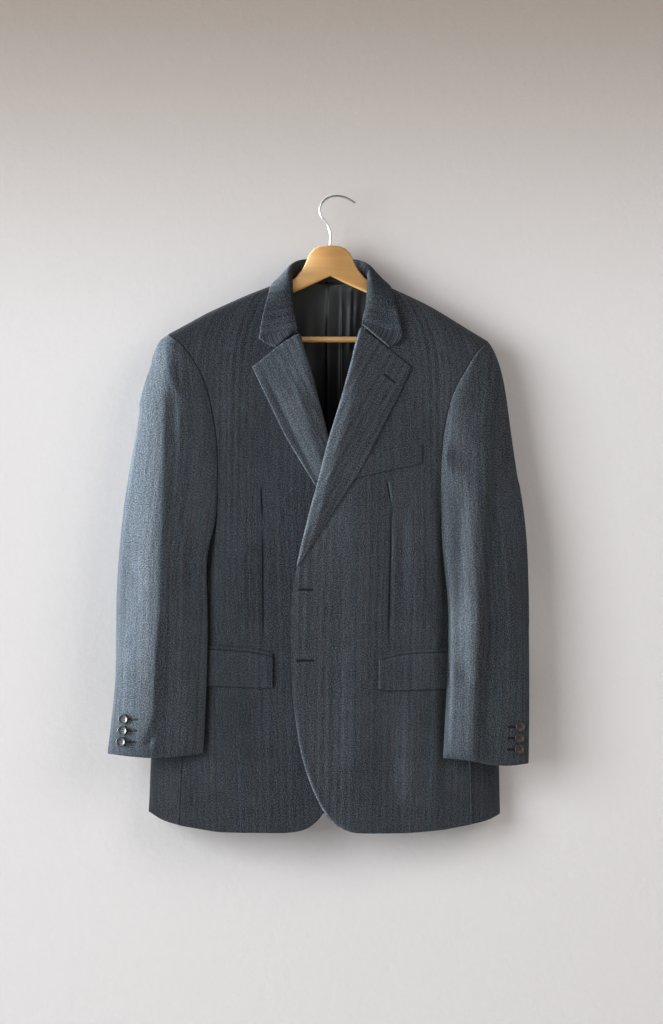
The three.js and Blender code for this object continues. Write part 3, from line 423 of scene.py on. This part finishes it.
# Fronts: each is one panel from the shoulder to the hem, with a dart from the chest to the pocket.
# The right one lies outside. The cloth hangs nearly flat, with soft vertical folds under the chest.
OUT = {"left": -1, "right": 1}
FRONT_SEED = {"left": 11, "right": 12}
DARTS = {
    "left": [(-107, -408, -104, -465), (-104, -465, -103, -648)],
    "right": [(72, -402, 78, -440), (78, -440, 74, -648)],
}
DART_SIDES = (9, 2)  # half widths in mm of the hollow on either side of a dart
DART_DEPTH = -2.0  # mm
FRONT_FOLDS = {
    "left": [
        (-165, -430, -170, -890, (30, 100), 6.5, 0), (-128, -470, -140, -650, 16, 2.0, 4),
        (-70, -500, -74, -800, 20, 1.2, -3), (-150, -700, -158, -890, 22, 2.0, 0),
        (-112, -705, -110, -880, 16, -1.6, 0), (-60, -700, -52, -860, 18, 1.2, 0),
        (-196, -800, -200, -890, 12, -1.6, 0), (-160, -250, -150, -420, 22, -1.6, 8),
        (-120, -170, -160, -260, 26, 1.4, 0),
    ],
    "right": [
        (138, -380, 140, -935, (80, 13), 11.0, 0), (64, -520, 66, -940, (70, 40), -4.0, 0),
        (92, -430, 96, -640, 10, -1.6, 0), (134, -440, 140, -640, 11, -2.0, 0),
        (30, -560, 34, -860, 20, 1.2, 4), (104, -705, 108, -890, 14, 1.6, 0),
        (80, -705, 76, -880, 14, -1.4, 0), (150, -705, 156, -880, 18, -1.6, 0),
        (170, -800, 172, -880, 12, 1.4, 0), (130, -250, 124, -350, 20, -1.6, -6),
        (118, -160, 150, -250, 26, 1.4, 0),
    ],
}


def facing_room(places):
    return np.tile([0.0, -1.0, 0.0], (len(places), 1))


def side_grain(out):
    """Grain up a flat panel that turns back at its outer side."""
    return lambda x, y, z: (out * x + y, z)


fronts = {}
for name, out in OUT.items():
    dart_folds = [(*line, DART_SIDES, DART_DEPTH, 0) for line in DARTS[name]]
    fronts[name] = cloth_piece("front_" + name, facing_room, FRONT_FOLDS[name] + dart_folds,
                               FRONT_SEED[name], grain=side_grain(out), cuts=DARTS[name])

for lamp in (side_window, room):
    leave_out(lamp, "receiver_collection", fronts["left"])
leave_out(side_window, "blocker_collection", fronts["left"], fronts["right"])

# Side bodies and backs: plain panels that close the body, seamed at the sides and the centre back.
# They hang against the wall with a few long soft folds.
BACK_FOLDS = {
    "left": [
        (-150, -330, -160, -860, 24, 2.0, 6), (-80, -420, -86, -870, 20, -1.8, -4),
        (-190, -300, -200, -560, 14, -1.8, 0), (-60, -180, -110, -300, 26, 1.6, 0),
    ],
    "right": [
        (122, -330, 132, -860, 24, 2.0, -6), (58, -420, 62, -870, 20, -1.8, 4),
        (166, -300, 176, -560, 14, -1.8, 0), (44, -180, 92, -300, 26, 1.6, 0),
    ],
}
CENTRE_X = -0.011
BODY_FLATNESS = 4
TURNS = np.linspace(-math.pi, math.pi, 181)  # angles round a tube, at which its girth is summed


def facing_wall(places):
    return np.tile([0.0, 1.0, 0.0], (len(places), 1))


def from_core(places):
    """The way out from the middle of the body, with its depth stretched to make it round."""
    return np.stack([places[:, 0] - CENTRE_X, places[:, 1] * BODY_FLATNESS, 0 * places[:, 2]], axis=1)


def way_round(outward, flatness, start=1):
    """Grain up a flattened tube, counted round it from the middle of its front, or of its back for start -1.
    Outward gives the way from the tube's core, with its depth stretched by the flatness to a circle."""
    steps = np.hypot(np.cos(TURNS), np.sin(TURNS) / flatness) * (TURNS[1] - TURNS[0])
    lengths = np.cumsum(steps) - steps.sum() / 2

    def grain(x, y, z):
        out = outward(np.stack([x, y, z], axis=1))
        turn = np.arctan2(out[:, 0], -start * out[:, 1])
        return np.interp(turn, TURNS, lengths) * np.hypot(out[:, 0], out[:, 1]), z

    return grain


side_bodies = {}
for name, seed in (("left", 21), ("right", 22)):
    back = cloth_piece("back_" + name, facing_wall, BACK_FOLDS[name], seed)
    side_bodies[name] = cloth_piece("side_body_" + name, from_core, [], seed + 2,
                                    grain=way_round(from_core, BODY_FLATNESS), sway=1.6)

leave_out(side_window, "receiver_collection", side_bodies["left"])

# Sleeves: two-piece sleeves, eased into the armhole, hanging forward with a long ridge down each.
# A few slanting drag lines form at the elbow and above the cuff.
SLEEVE_FOLDS = {
    "left": [
        (-262, -215, -292, -355, 15, -3.0, 0), (-239, -190, -249, -700, (48, 21), 11.5, 0),
        (-234, -270, -235, -640, 9, -1.2, -2), (-214, -240, -219, -560, (12, 14), 3.6, 5),
        (-240, -205, -220, -290, (12, 10), 3.0, 4), (-286, -380, -292, -640, 12, -1.8, 2),
        (-200, -430, -204, -760, 10, -1.8, 0), (-252, -600, -262, -800, (40, 12), 7.0, 0),
        (-248, -742, -270, -784, 6, -2.6, 0), (-202, -560, -211, -810, (17, 10), 5.0, 0),
        (-236, -560, -236, -790, 9, -2.4, 0), (-296, -520, -270, -560, 9, -1.4, 0),
    ],
    "right": [
        (223, -255, 209, -332, (14, 8), 3.6, 0), (212, -300, 200, -690, (44, 11), 11.0, 0),
        (203, -560, 195, -830, (42, 12), 11.0, 0), (224, -400, 214, -650, 9, -2.4, 0),
        (214, -650, 210, -790, 9, -2.4, 0), (180, -420, 178, -640, 9, -2.0, 3),
        (166, -560, 168, -780, 10, 2.0, 0), (246, -470, 250, -740, 12, 1.8, 0),
        (170, -640, 190, -700, 10, -1.6, 0),
    ],
}
SLEEVE_AXIS = {  # height, X and Y of the middle of a sleeve's section, from the cuff up
    "left": [
        (-0.80, -0.256, -0.049), (-0.60, -0.247, -0.046), (-0.517, -0.247, -0.034),
        (-0.436, -0.235, -0.012), (-0.34, -0.225, -0.004), (-0.24, -0.235, 0.0), (-0.19, -0.24, 0.0),
    ],
    "right": [
        (-0.81, 0.212, -0.048), (-0.60, 0.218, -0.045), (-0.517, 0.212, -0.034),
        (-0.436, 0.205, -0.012), (-0.34, 0.20, -0.004), (-0.24, 0.21, 0.0), (-0.20, 0.216, 0.0),
    ],
}
SLEEVE_FLATNESS = 3


def from_sleeve_axis(name):
    heights, xs, ys = np.array(SLEEVE_AXIS[name]).T

    def outward(places):
        middle_x = np.interp(places[:, 2], heights, xs)
        middle_y = np.interp(places[:, 2], heights, ys)
        depth = (places[:, 1] - middle_y) * SLEEVE_FLATNESS
        return np.stack([places[:, 0] - middle_x, depth, 0 * middle_x], axis=1)

    return outward


sleeves = {}
for name, seed in (("left", 31), ("right", 32)):
    axis = from_sleeve_axis(name)
    sleeves[name] = cloth_piece("top_sleeve_" + name, axis, SLEEVE_FOLDS[name], seed,
                                grain=way_round(axis, SLEEVE_FLATNESS), sway=1.2)
    under = cloth_piece("under_sleeve_" + name, axis, [], seed + 2,
                        grain=way_round(axis, SLEEVE_FLATNESS, start=-1), sway=1.2)

# Lapels and collar: two layers of wool over canvas, turned out and pressed to a soft roll.
# The lapels' grain runs along their free edge, and the collar's runs round the neck.
LAPEL_EDGE = {"left": ((-0.119, -0.242), (0.015, -0.519)), "right": ((0.107, -0.242), (-0.049, -0.519))}
LAPEL_FOLDS = {
    "left": [(-104, -246, 2, -470, 9, -1.2, 0), (-62, -256, 8, -460, (16, 12), 2.0, 0)],
    "right": [(92, -246, -36, -470, 9, -1.0, 0), (44, -236, -37, -500, (17, 12), 3.2, 0)],
}
CRISP_WIDTH = 0.0014  # a pressed edge is let in less than a plain one, and over a narrower strip
CRISP_LET_IN = 0.0004
NECK_X = -0.0085
NECK_Y = 0.005
COLLAR_LIFT = 0.02
FOLD_LINE = np.array([  # the line on which the collar turns over, round the neck from left to right, in mm
    (-55, -48, -189), (-59, -42, -168), (-62, -32, -147), (-63.5, -20, -124), (-63, -6, -104), (-60, 8, -95),
    (-51, 22, -89), (-34, 33, -86.5), (-9, 38, -85.5), (16, 33, -86.5), (33, 22, -89.5), (43, 8, -96),
    (45.5, -6, -106), (46, -20, -126), (44.5, -33, -149), (40, -43, -166), (37, -49, -182),
]) / 1000


def lapel_grain(name):
    (x0, z0), (x1, z1) = LAPEL_EDGE[name]
    run = np.array([x1 - x0, z1 - z0])
    run = run / np.hypot(*run)
    return lambda x, y, z: ((x - x0) * run[1] - (z - z0) * run[0], (x - x0) * run[0] + (z - z0) * run[1])


def from_neck(places):
    lift = np.full(len(places), COLLAR_LIFT)
    return np.stack([places[:, 0] - NECK_X, places[:, 1] - NECK_Y, lift], axis=1)


def collar_grain(x, y, z):
    """How far round the neck each place lies on the fold line, and how far from that line."""
    places = np.stack([x, y, z], axis=1)
    starts, ends = FOLD_LINE[:-1], FOLD_LINE[1:]
    lengths = np.linalg.norm(ends - starts, axis=1)
    before = np.concatenate([[0], np.cumsum(lengths)[:-1]])
    best = np.full(len(places), np.inf)
    run = np.zeros(len(places))
    for start, end, length, offset in zip(starts, ends, lengths, before):
        t = np.clip(((places - start) @ (end - start)) / length ** 2, 0, 1)
        gap = np.linalg.norm(places - start - t[:, None] * (end - start), axis=1)
        nearer = gap < best
        best = np.where(nearer, gap, best)
        run = np.where(nearer, offset + t * length, run)
    return run, best


lapels = {}
for name, seed in (("left", 41), ("right", 42)):
    lapels[name] = cloth_piece("lapel_" + name, facing_room, LAPEL_FOLDS[name], seed,
                               grain=lapel_grain(name), sway=0.4, let_in=CRISP_LET_IN,
                               let_in_width=CRISP_WIDTH)
collar = cloth_piece("collar", from_neck, [], 43, grain=collar_grain, sway=0.3, let_in=CRISP_LET_IN,
                     let_in_width=CRISP_WIDTH)
leave_out(room, "receiver_collection", collar)
leave_out(side_window, "blocker_collection", lapels["left"], lapels["right"])

# Pockets: doubled wool flaps hang from jets at the hips, and a slanting welt stands on the wearer's left
# chest. Each is sewn to the front, follows its folds and stands off it by the thickness of its seam.
FLAP_FOLDS = {
    "left": [(-150, -646, -152, -700, 12, 1.0, 0)],
    "right": [(100, -650, 98, -702, 6, 1.6, 0), (108, -650, 108, -702, 6, -1.2, 0)],
}
WELT_FOLDS = [(110, -350, 109, -385, 4, -1.0, 0)]
SEAM_THICKNESS = 0.0007
FLAP_STAND_OFF = 0.0018  # a flap hangs free below its seam
JET_LET_IN_WIDTH = 0.0012
WELT_LET_IN = 0.0005

pockets = {}
for name, out in OUT.items():
    flap = cloth_piece("pocket_flap_" + name, facing_room, FRONT_FOLDS[name] + FLAP_FOLDS[name],
                       FRONT_SEED[name], grain=side_grain(out), stand_off=FLAP_STAND_OFF, pinned=0)
    jet = cloth_piece("pocket_jet_" + name, facing_room, FRONT_FOLDS[name], FRONT_SEED[name],
                      grain=side_grain(out), let_in=CRISP_LET_IN, let_in_width=JET_LET_IN_WIDTH,
                      stand_off=SEAM_THICKNESS, pinned=0)
    pockets[name] = (flap, jet)
welt = cloth_piece("breast_welt", facing_room, FRONT_FOLDS["right"] + WELT_FOLDS, FRONT_SEED["right"],
                   grain=side_grain(OUT["right"]), let_in=WELT_LET_IN, let_in_width=CRISP_WIDTH,
                   stand_off=SEAM_THICKNESS, pinned=0)

for lamp in (side_window, room):
    leave_out(lamp, "receiver_collection", *pockets["left"])

# Lining: dark viscose twill behind the neck, cut like the two backs with a pleat for ease down its middle.
# It hangs loose and is felled under the collar. It is smoother than wool, so it takes a dull shine.
LINING_FOLDS = [
    (-12, -100, -12, -760, (2.2, 14), 3.0, 0), (8, -100, 8, -700, (2.6, 16), 3.0, 0),
    (22, -110, 19, -230, 4, 1.8, 0), (32, -110, 27, -200, 4, 1.6, 0), (-40, -150, -46, -420, 9, 1.4, 3),
    (-100, -200, -106, -820, 16, 2.0, 4), (70, -200, 76, -820, 16, 2.0, -4),
    (-30, -500, -34, -850, 14, -1.4, 0), (30, -480, 30, -850, 12, 1.6, 0),
]
PLEATS = [(-12, -128, -12, -700), (8, -128, 8, -700), (22, -128, 19, -300)]
TWILL_LEAN = 0.8  # angle between the twill's threads and the length of the panel
LINING_SCALE = (1400, 60, 1)  # threads 0.7 mm apart; the real ones are about 0.2 mm, coarsened to show


def lining_material():
    """Woven viscose twill: nearly black, with fine slanting threads and a dull satin shine."""
    material, tree = new_material("viscose twill lining")
    grain = add_node(tree, "ShaderNodeUVMap", {"uv_map": "grain"}).outputs[0]
    lean = add_node(tree, "ShaderNodeMapping", Vector=grain, Rotation=(0, 0, TWILL_LEAN),
                    Scale=LINING_SCALE).outputs[0]
    thread = add_node(tree, "ShaderNodeTexNoise", Vector=lean, Scale=1.0, Detail=2.0).outputs["Fac"]
    tint = add_node(tree, "ShaderNodeMix", {"data_type": "RGBA"}, i0=thread, i6=hex_colour("#0b0c0e"),
                    i7=hex_colour("#15171b")).outputs[2]
    bump = add_node(tree, "ShaderNodeBump", Strength=0.2, Distance=0.0003, Height=thread).outputs[0]
    satin = add_node(tree, "ShaderNodeBsdfPrincipled", Base_Color=tint, Roughness=0.5, IOR=1.53,
                     Sheen_Weight=0.04, Normal=bump)
    add_node(tree, "ShaderNodeOutputMaterial", Surface=satin.outputs[0])
    return material


lining = cloth_piece("back_lining", facing_room, LINING_FOLDS, 61, sway=1.2, cuts=PLEATS,
                     material=lining_material(), slot="dark_lining")
leave_out(side_window, "receiver_collection", lining)

# Hanger: a contoured beech board and a round beech bar, sanded, stained and clear varnished.
# The board is sawn from one plank and rounded over all its edges, and the bar's ends are let into it.
BOARD_GRAIN = (9, 120, 120)  # grain 8 mm wide and 110 mm long, as on a plank sawn along
BAR_GRAIN = (7, 260, 260)  # grain 4 mm wide and 140 mm long, as on a turned dowel
FLECK_FINENESS = 4.5  # how many times finer the flecks are than the grain
SHARP_SOLID = 0.6


def beech_material(name, light, dark, grain_scale):
    """Varnished beech: straight warm grain along the piece, with short dark flecks, under a smooth coat."""
    material, tree = new_material(name)
    where = add_node(tree, "ShaderNodeTexCoord").outputs["Object"]
    drawn = add_node(tree, "ShaderNodeMapping", Vector=where, Scale=grain_scale).outputs[0]
    year = add_node(tree, "ShaderNodeTexNoise", Vector=drawn, Scale=1.0, Detail=5.0,
                    Distortion=0.5).outputs["Fac"]
    fleck_scale = [FLECK_FINENESS * value for value in grain_scale]
    closer = add_node(tree, "ShaderNodeMapping", Vector=where, Scale=fleck_scale).outputs[0]
    fleck = add_node(tree, "ShaderNodeTexNoise", Vector=closer, Scale=1.0, Detail=2.0).outputs["Fac"]
    dot = add_node(tree, "ShaderNodeMapRange", Value=fleck, From_Min=0.62, From_Max=0.72,
                   To_Max=0.4).outputs[0]
    wood = add_node(tree, "ShaderNodeMix", {"data_type": "RGBA"}, i0=year, i6=hex_colour(dark),
                    i7=hex_colour(light)).outputs[2]
    flecked = add_node(tree, "ShaderNodeMix", {"data_type": "RGBA"}, i0=dot, i6=wood,
                       i7=hex_colour(dark)).outputs[2]
    bump = add_node(tree, "ShaderNodeBump", Strength=0.08, Distance=0.0004, Height=year).outputs[0]
    varnished = add_node(tree, "ShaderNodeBsdfPrincipled", Base_Color=flecked, Roughness=0.42, IOR=1.5,
                         Coat_Weight=0.25, Coat_Roughness=0.15, Normal=bump)
    add_node(tree, "ShaderNodeOutputMaterial", Surface=varnished.outputs[0])
    return material


def smooth_piece(node, name, levels, material, slot):
    """A smooth closed copy of a rigid CAD solid."""
    mesh = fine_copy(node, levels)
    mesh.shade_smooth()
    mesh.set_sharp_from_angle(angle=SHARP_SOLID)
    add_piece(name, mesh, material, slot, node)


board_wood = beech_material("varnished beech", "#c5985b", "#a8763e", BOARD_GRAIN)
bar_wood = beech_material("varnished beech dowel", "#dbad70", "#b28250", BAR_GRAIN)
smooth_piece("hanger_board", "board", 0, board_wood, "beech")
smooth_piece("trouser_bar", "bar", 2, bar_wood, "beech")

# Hook: steel wire, bent cold to a bow and a shank, then nickel and chrome plated bright.
# Its shank is driven into the top of the board, and its tip is rounded off.


def plated_material():
    """Bright chrome over drawn wire: mirror-like, broken up by faint drawing marks about 1 mm apart."""
    material, tree = new_material("chrome plated wire")
    where = add_node(tree, "ShaderNodeTexCoord").outputs["Object"]
    drawn = add_node(tree, "ShaderNodeTexNoise", Vector=where, Scale=900.0, Detail=3.0).outputs["Fac"]
    dull = add_node(tree, "ShaderNodeMapRange", Value=drawn, To_Min=0.14, To_Max=0.3).outputs[0]
    bump = add_node(tree, "ShaderNodeBump", Strength=0.05, Distance=0.0001, Height=drawn).outputs[0]
    plating = add_node(tree, "ShaderNodeBsdfPrincipled", Base_Color=hex_colour("#c9cacc"), Metallic=1.0,
                       Roughness=dull, Normal=bump)
    add_node(tree, "ShaderNodeOutputMaterial", Surface=plating.outputs[0])
    return material


smooth_piece("hook", "wire_hook", 1, plated_material(), "hook_wire")

# Buttons: turned horn with four holes, sewn on through them with dark thread on a short shank.
# Three stand on each cuff, and two lie on the under front, where the closed front would button.
FACE_HEIGHT = 0.6
BUTTON_PROFILE = [  # from the face's middle over the rim to the back's, as shares of radius and thickness
    (0, FACE_HEIGHT), (0.5, FACE_HEIGHT), (0.62, 0.68), (0.74, 0.94), (0.86, 1.0), (0.96, 0.84), (1, 0.52),
    (0.93, 0.14), (0.8, 0), (0, 0),
]
HOLE_SPREAD = 0.2  # shares of the button's radius
HOLE_SIZE = 0.095
THREAD = 0.00035  # radius of the sewing thread
SHANK = 0.0006  # how far a button stands off the cloth on its thread
SHARP_HORN = 0.7
ABOVE_CLOTH = 0.012  # where the search for the folded cloth under a button starts


def horn_material(name, dark, light, scale):
    """Polished horn: dark, with streaks of about 4 mm, and a soft gloss on its turned rim."""
    material, tree = new_material(name)
    where = add_node(tree, "ShaderNodeTexCoord").outputs["Object"]
    streak = add_node(tree, "ShaderNodeTexNoise", Vector=where, Scale=scale, Detail=4.0,
                      Distortion=1.2).outputs["Fac"]
    tint = add_node(tree, "ShaderNodeMix", {"data_type": "RGBA"}, i0=streak, i6=hex_colour(dark),
                    i7=hex_colour(light)).outputs[2]
    horn = add_node(tree, "ShaderNodeBsdfPrincipled", Base_Color=tint, Roughness=0.42, IOR=1.54)
    add_node(tree, "ShaderNodeOutputMaterial", Surface=horn.outputs[0])
    return material


def thread_material(name, dark, light):
    """Twisted thread, polyester or silk: strands 0.4 mm long, near black, with a dull shine."""
    material, tree = new_material(name)
    where = add_node(tree, "ShaderNodeTexCoord").outputs["Object"]
    twist = add_node(tree, "ShaderNodeTexNoise", Vector=where, Scale=2600.0, Detail=1.0).outputs["Fac"]
    tint = add_node(tree, "ShaderNodeMix", {"data_type": "RGBA"}, i0=twist, i6=hex_colour(dark),
                    i7=hex_colour(light)).outputs[2]
    bump = add_node(tree, "ShaderNodeBump", Strength=0.4, Distance=0.0001, Height=twist).outputs[0]
    strand = add_node(tree, "ShaderNodeBsdfPrincipled", Base_Color=tint, Roughness=0.6,
                      Specular_IOR_Level=0.2, Normal=bump)
    add_node(tree, "ShaderNodeOutputMaterial", Surface=strand.outputs[0])
    return material


def button_body(radius, thick):
    """A turned disc, its back on Z 0 and its face up, with four drilled holes."""
    bm = bmesh.new()
    row = [bm.verts.new((x * radius, 0, z * thick)) for x, z in BUTTON_PROFILE]
    edges = [bm.edges.new(pair) for pair in zip(row, row[1:])]
    bmesh.ops.spin(bm, geom=row + edges, cent=(0, 0, 0), axis=(0, 0, 1), angle=2 * math.pi, steps=40,
                   use_merge=True)
    bmesh.ops.remove_doubles(bm, verts=bm.verts, dist=MERGE / 2)
    bmesh.ops.recalc_face_normals(bm, faces=bm.faces)
    disc = bpy.data.objects.new("button blank", bpy.data.meshes.new("button blank"))
    bm.to_mesh(disc.data)
    bm.free()
    bm = bmesh.new()
    spread = HOLE_SPREAD * radius
    hole = HOLE_SIZE * radius
    for side_x in (-1, 1):
        for side_y in (-1, 1):
            place = Matrix.Translation((side_x * spread, side_y * spread, thick / 2))
            bmesh.ops.create_cone(bm, cap_ends=True, segments=12, radius1=hole, radius2=hole,
                                  depth=thick * 2, matrix=place)
    drills = bpy.data.objects.new("drills", bpy.data.meshes.new("drills"))
    bm.to_mesh(drills.data)
    bm.free()
    for made in (disc, drills):
        scene.collection.objects.link(made)
    cut = disc.modifiers.new("drill", "BOOLEAN")
    cut.object = drills
    cut.solver = "EXACT"
    mesh = bpy.data.meshes.new_from_object(disc.evaluated_get(bpy.context.evaluated_depsgraph_get()))
    mesh.materials.clear()
    mesh.shade_smooth()
    mesh.set_sharp_from_angle(angle=SHARP_HORN)
    for made in (disc, drills):
        bpy.data.objects.remove(made)
    return mesh


def button_thread(radius, thick):
    """Two stitches over the face and the shank of thread behind."""
    bm = bmesh.new()
    reach = HOLE_SPREAD * radius
    for side_y in (-1, 1):
        place = Matrix.Translation((-reach, side_y * reach, 0))
        ring = bmesh.ops.create_circle(bm, cap_ends=True, segments=8, radius=THREAD, matrix=place)["verts"]
        loop = list({edge for vert in ring for edge in vert.link_edges})
        faces = list({face for vert in ring for face in vert.link_faces})
        bmesh.ops.spin(bm, geom=ring + loop + faces, cent=(0, side_y * reach, 0), axis=(0, 1, 0),
                       angle=math.pi, steps=8)
    bmesh.ops.scale(bm, vec=(1, 1, 0.45), verts=bm.verts)
    bmesh.ops.translate(bm, vec=(0, 0, FACE_HEIGHT * thick - THREAD), verts=bm.verts)
    bmesh.ops.create_cone(bm, cap_ends=True, segments=12, radius1=reach * 1.3, radius2=reach,
                          depth=SHANK * 2, matrix=Matrix.Translation((0, 0, -SHANK / 2)))
    bmesh.ops.recalc_face_normals(bm, faces=bm.faces)
    mesh = bpy.data.meshes.new("button thread")
    bm.to_mesh(mesh)
    bm.free()
    mesh.shade_smooth()
    return mesh


def surface_of(piece):
    return BVHTree.FromObject(piece, bpy.context.evaluated_depsgraph_get())


grey_horn = horn_material("grey horn", "#17181a", "#3c3b3a", 260.0)
brown_horn = horn_material("brown horn", "#1f1815", "#4a3c32", 220.0)
sewing_thread = thread_material("sewing thread", "#0f1012", "#2c2e31")
surfaces = {"left cuff": surface_of(sleeves["left"]), "right cuff": surface_of(sleeves["right"]),
            "left front": surface_of(fronts["left"]), "right front": surface_of(fronts["right"])}
BUTTON_ROWS = [  # first part of the node's name, how many, the cloth, radius, thickness and horn
    ("cuff_button_left", 3, "left cuff", 0.0072, 0.0031, grey_horn),
    ("cuff_button_right", 3, "right cuff", 0.0072, 0.0031, brown_horn),
    ("front_button", 2, "left front", 0.01, 0.0036, brown_horn),
]


def place_on_cloth(node, cloth):
    """The turn and place of the CAD button, moved along its own axis to stand on the folded cloth."""
    corners = np.array([vert.co[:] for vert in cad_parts[node].data.vertices])
    middle = corners.mean(axis=0)
    normal = Vector(np.linalg.svd(corners - middle, full_matrices=False)[2][2])
    normal = -normal if normal.y > 0 else normal
    hit = surfaces[cloth].ray_cast(Vector(middle) + normal * ABOVE_CLOTH, -normal)[0]
    turn = normal.to_track_quat("Z", "Y").to_matrix().to_4x4()
    return Matrix.Translation(hit + normal * SHANK) @ turn


for row, count, cloth, radius, thick, horn in BUTTON_ROWS:
    for k in range(1, count + 1):
        node = "%s_%d" % (row, k)
        place = place_on_cloth(node, cloth)
        body = button_body(radius, thick)
        body.transform(place)
        add_piece(node + "_horn", body, horn, "horn_button", node)
        stitches = button_thread(radius, thick)
        stitches.transform(place)
        add_piece(node + "_thread", stitches, sewing_thread, "herringbone_wool")

# Buttonholes: a slit worked round with silk twist, which stands a little proud of the cloth. The twist is
# darkened with painted shade for the slit.
# Two are in the outer front and one with a round eye in its lapel, and short ones stand by the cuff buttons.
HOLE_WIDTH = 0.0033
TWIST_WIDTH = HOLE_WIDTH * 0.2
TWIST_RISE = 0.0005
SLIT_DEPTH = TWIST_RISE * 1.2
ROUND_EYE = 1.7
KEYHOLE_EYE = 1.5
NO_EYE = 1.0
CLEAR_OF_CLOTH = 0.0001
IN_FRONT = -0.2  # Y in front of all cloth, where the search for it starts
BUTTONHOLES = {  # outer end and inner end in X, Z, the size of the eye, and what it is worked in
    "front_hole_1": ((-0.0533, -0.559), (-0.0317, -0.559), KEYHOLE_EYE, "right front"),
    "front_hole_2": ((-0.056, -0.6596), (-0.0303, -0.6596), KEYHOLE_EYE, "right front"),
    "lapel_hole": ((0.083, -0.2655), (0.0667, -0.2528), ROUND_EYE, "right lapel"),
    "cuff_hole_left_1": ((-0.2945, -0.743), (-0.281, -0.743), NO_EYE, "left cuff"),
    "cuff_hole_left_2": ((-0.296, -0.759), (-0.2825, -0.759), NO_EYE, "left cuff"),
    "cuff_hole_left_3": ((-0.298, -0.775), (-0.2845, -0.775), NO_EYE, "left cuff"),
    "cuff_hole_right_1": ((0.2555, -0.754), (0.2435, -0.754), NO_EYE, "right cuff"),
    "cuff_hole_right_2": ((0.2545, -0.77), (0.2425, -0.77), NO_EYE, "right cuff"),
    "cuff_hole_right_3": ((0.2545, -0.786), (0.2425, -0.786), NO_EYE, "right cuff"),
}
# painted shade: the twist is made near black, darker than its own tone, to stand for the shade in the slit
twist_with_slit_shade = thread_material("buttonhole silk twist", "#08090a", "#17181a")
surfaces["right lapel"] = surface_of(lapels["right"])


def buttonhole(name, outer, inner, eye, cloth):
    """A ring of twist round a slit, with its eye at the outer end, laid on the cloth from the front."""
    run = Vector((inner[0] - outer[0], 0, inner[1] - outer[1]))
    half = run.length / 2
    bm = bmesh.new()
    bmesh.ops.create_circle(bm, cap_ends=True, segments=24, radius=HOLE_WIDTH / 2)
    for vert in bm.verts:
        size = eye if vert.co.x < -HOLE_WIDTH / 5 else 1.0
        vert.co = vert.co * size + Vector((math.copysign(half - HOLE_WIDTH / 2, vert.co.x), 0, 0))
    long_sides = [edge for edge in bm.edges if edge.calc_length() > half]
    bmesh.ops.subdivide_edges(bm, edges=long_sides, cuts=7)
    bmesh.ops.inset_region(bm, faces=bm.faces, thickness=TWIST_WIDTH, depth=TWIST_RISE, use_boundary=True,
                           use_even_offset=True)
    crown = [max(bm.faces, key=lambda face: len(face.verts))]
    bmesh.ops.inset_region(bm, faces=crown, thickness=TWIST_WIDTH, depth=-SLIT_DEPTH, use_boundary=True,
                           use_even_offset=True)
    middle = Vector(((outer[0] + inner[0]) / 2, 0, (outer[1] + inner[1]) / 2))
    side = Vector((0, -1, 0)).cross(run.normalized())
    for vert in bm.verts:
        spot = middle + run.normalized() * vert.co.x + side * vert.co.y
        hit = surfaces[cloth].ray_cast(Vector((spot.x, IN_FRONT, spot.z)), Vector((0, 1, 0)))[0]
        vert.co = hit - Vector((0, abs(vert.co.z) + CLEAR_OF_CLOTH, 0))
    mesh = bpy.data.meshes.new(name)
    bm.to_mesh(mesh)
    bm.free()
    mesh.shade_smooth()
    add_piece(name, mesh, twist_with_slit_shade, "herringbone_wool")


for name, (outer, inner, eye, cloth) in BUTTONHOLES.items():
    buttonhole(name, outer, inner, eye, cloth)
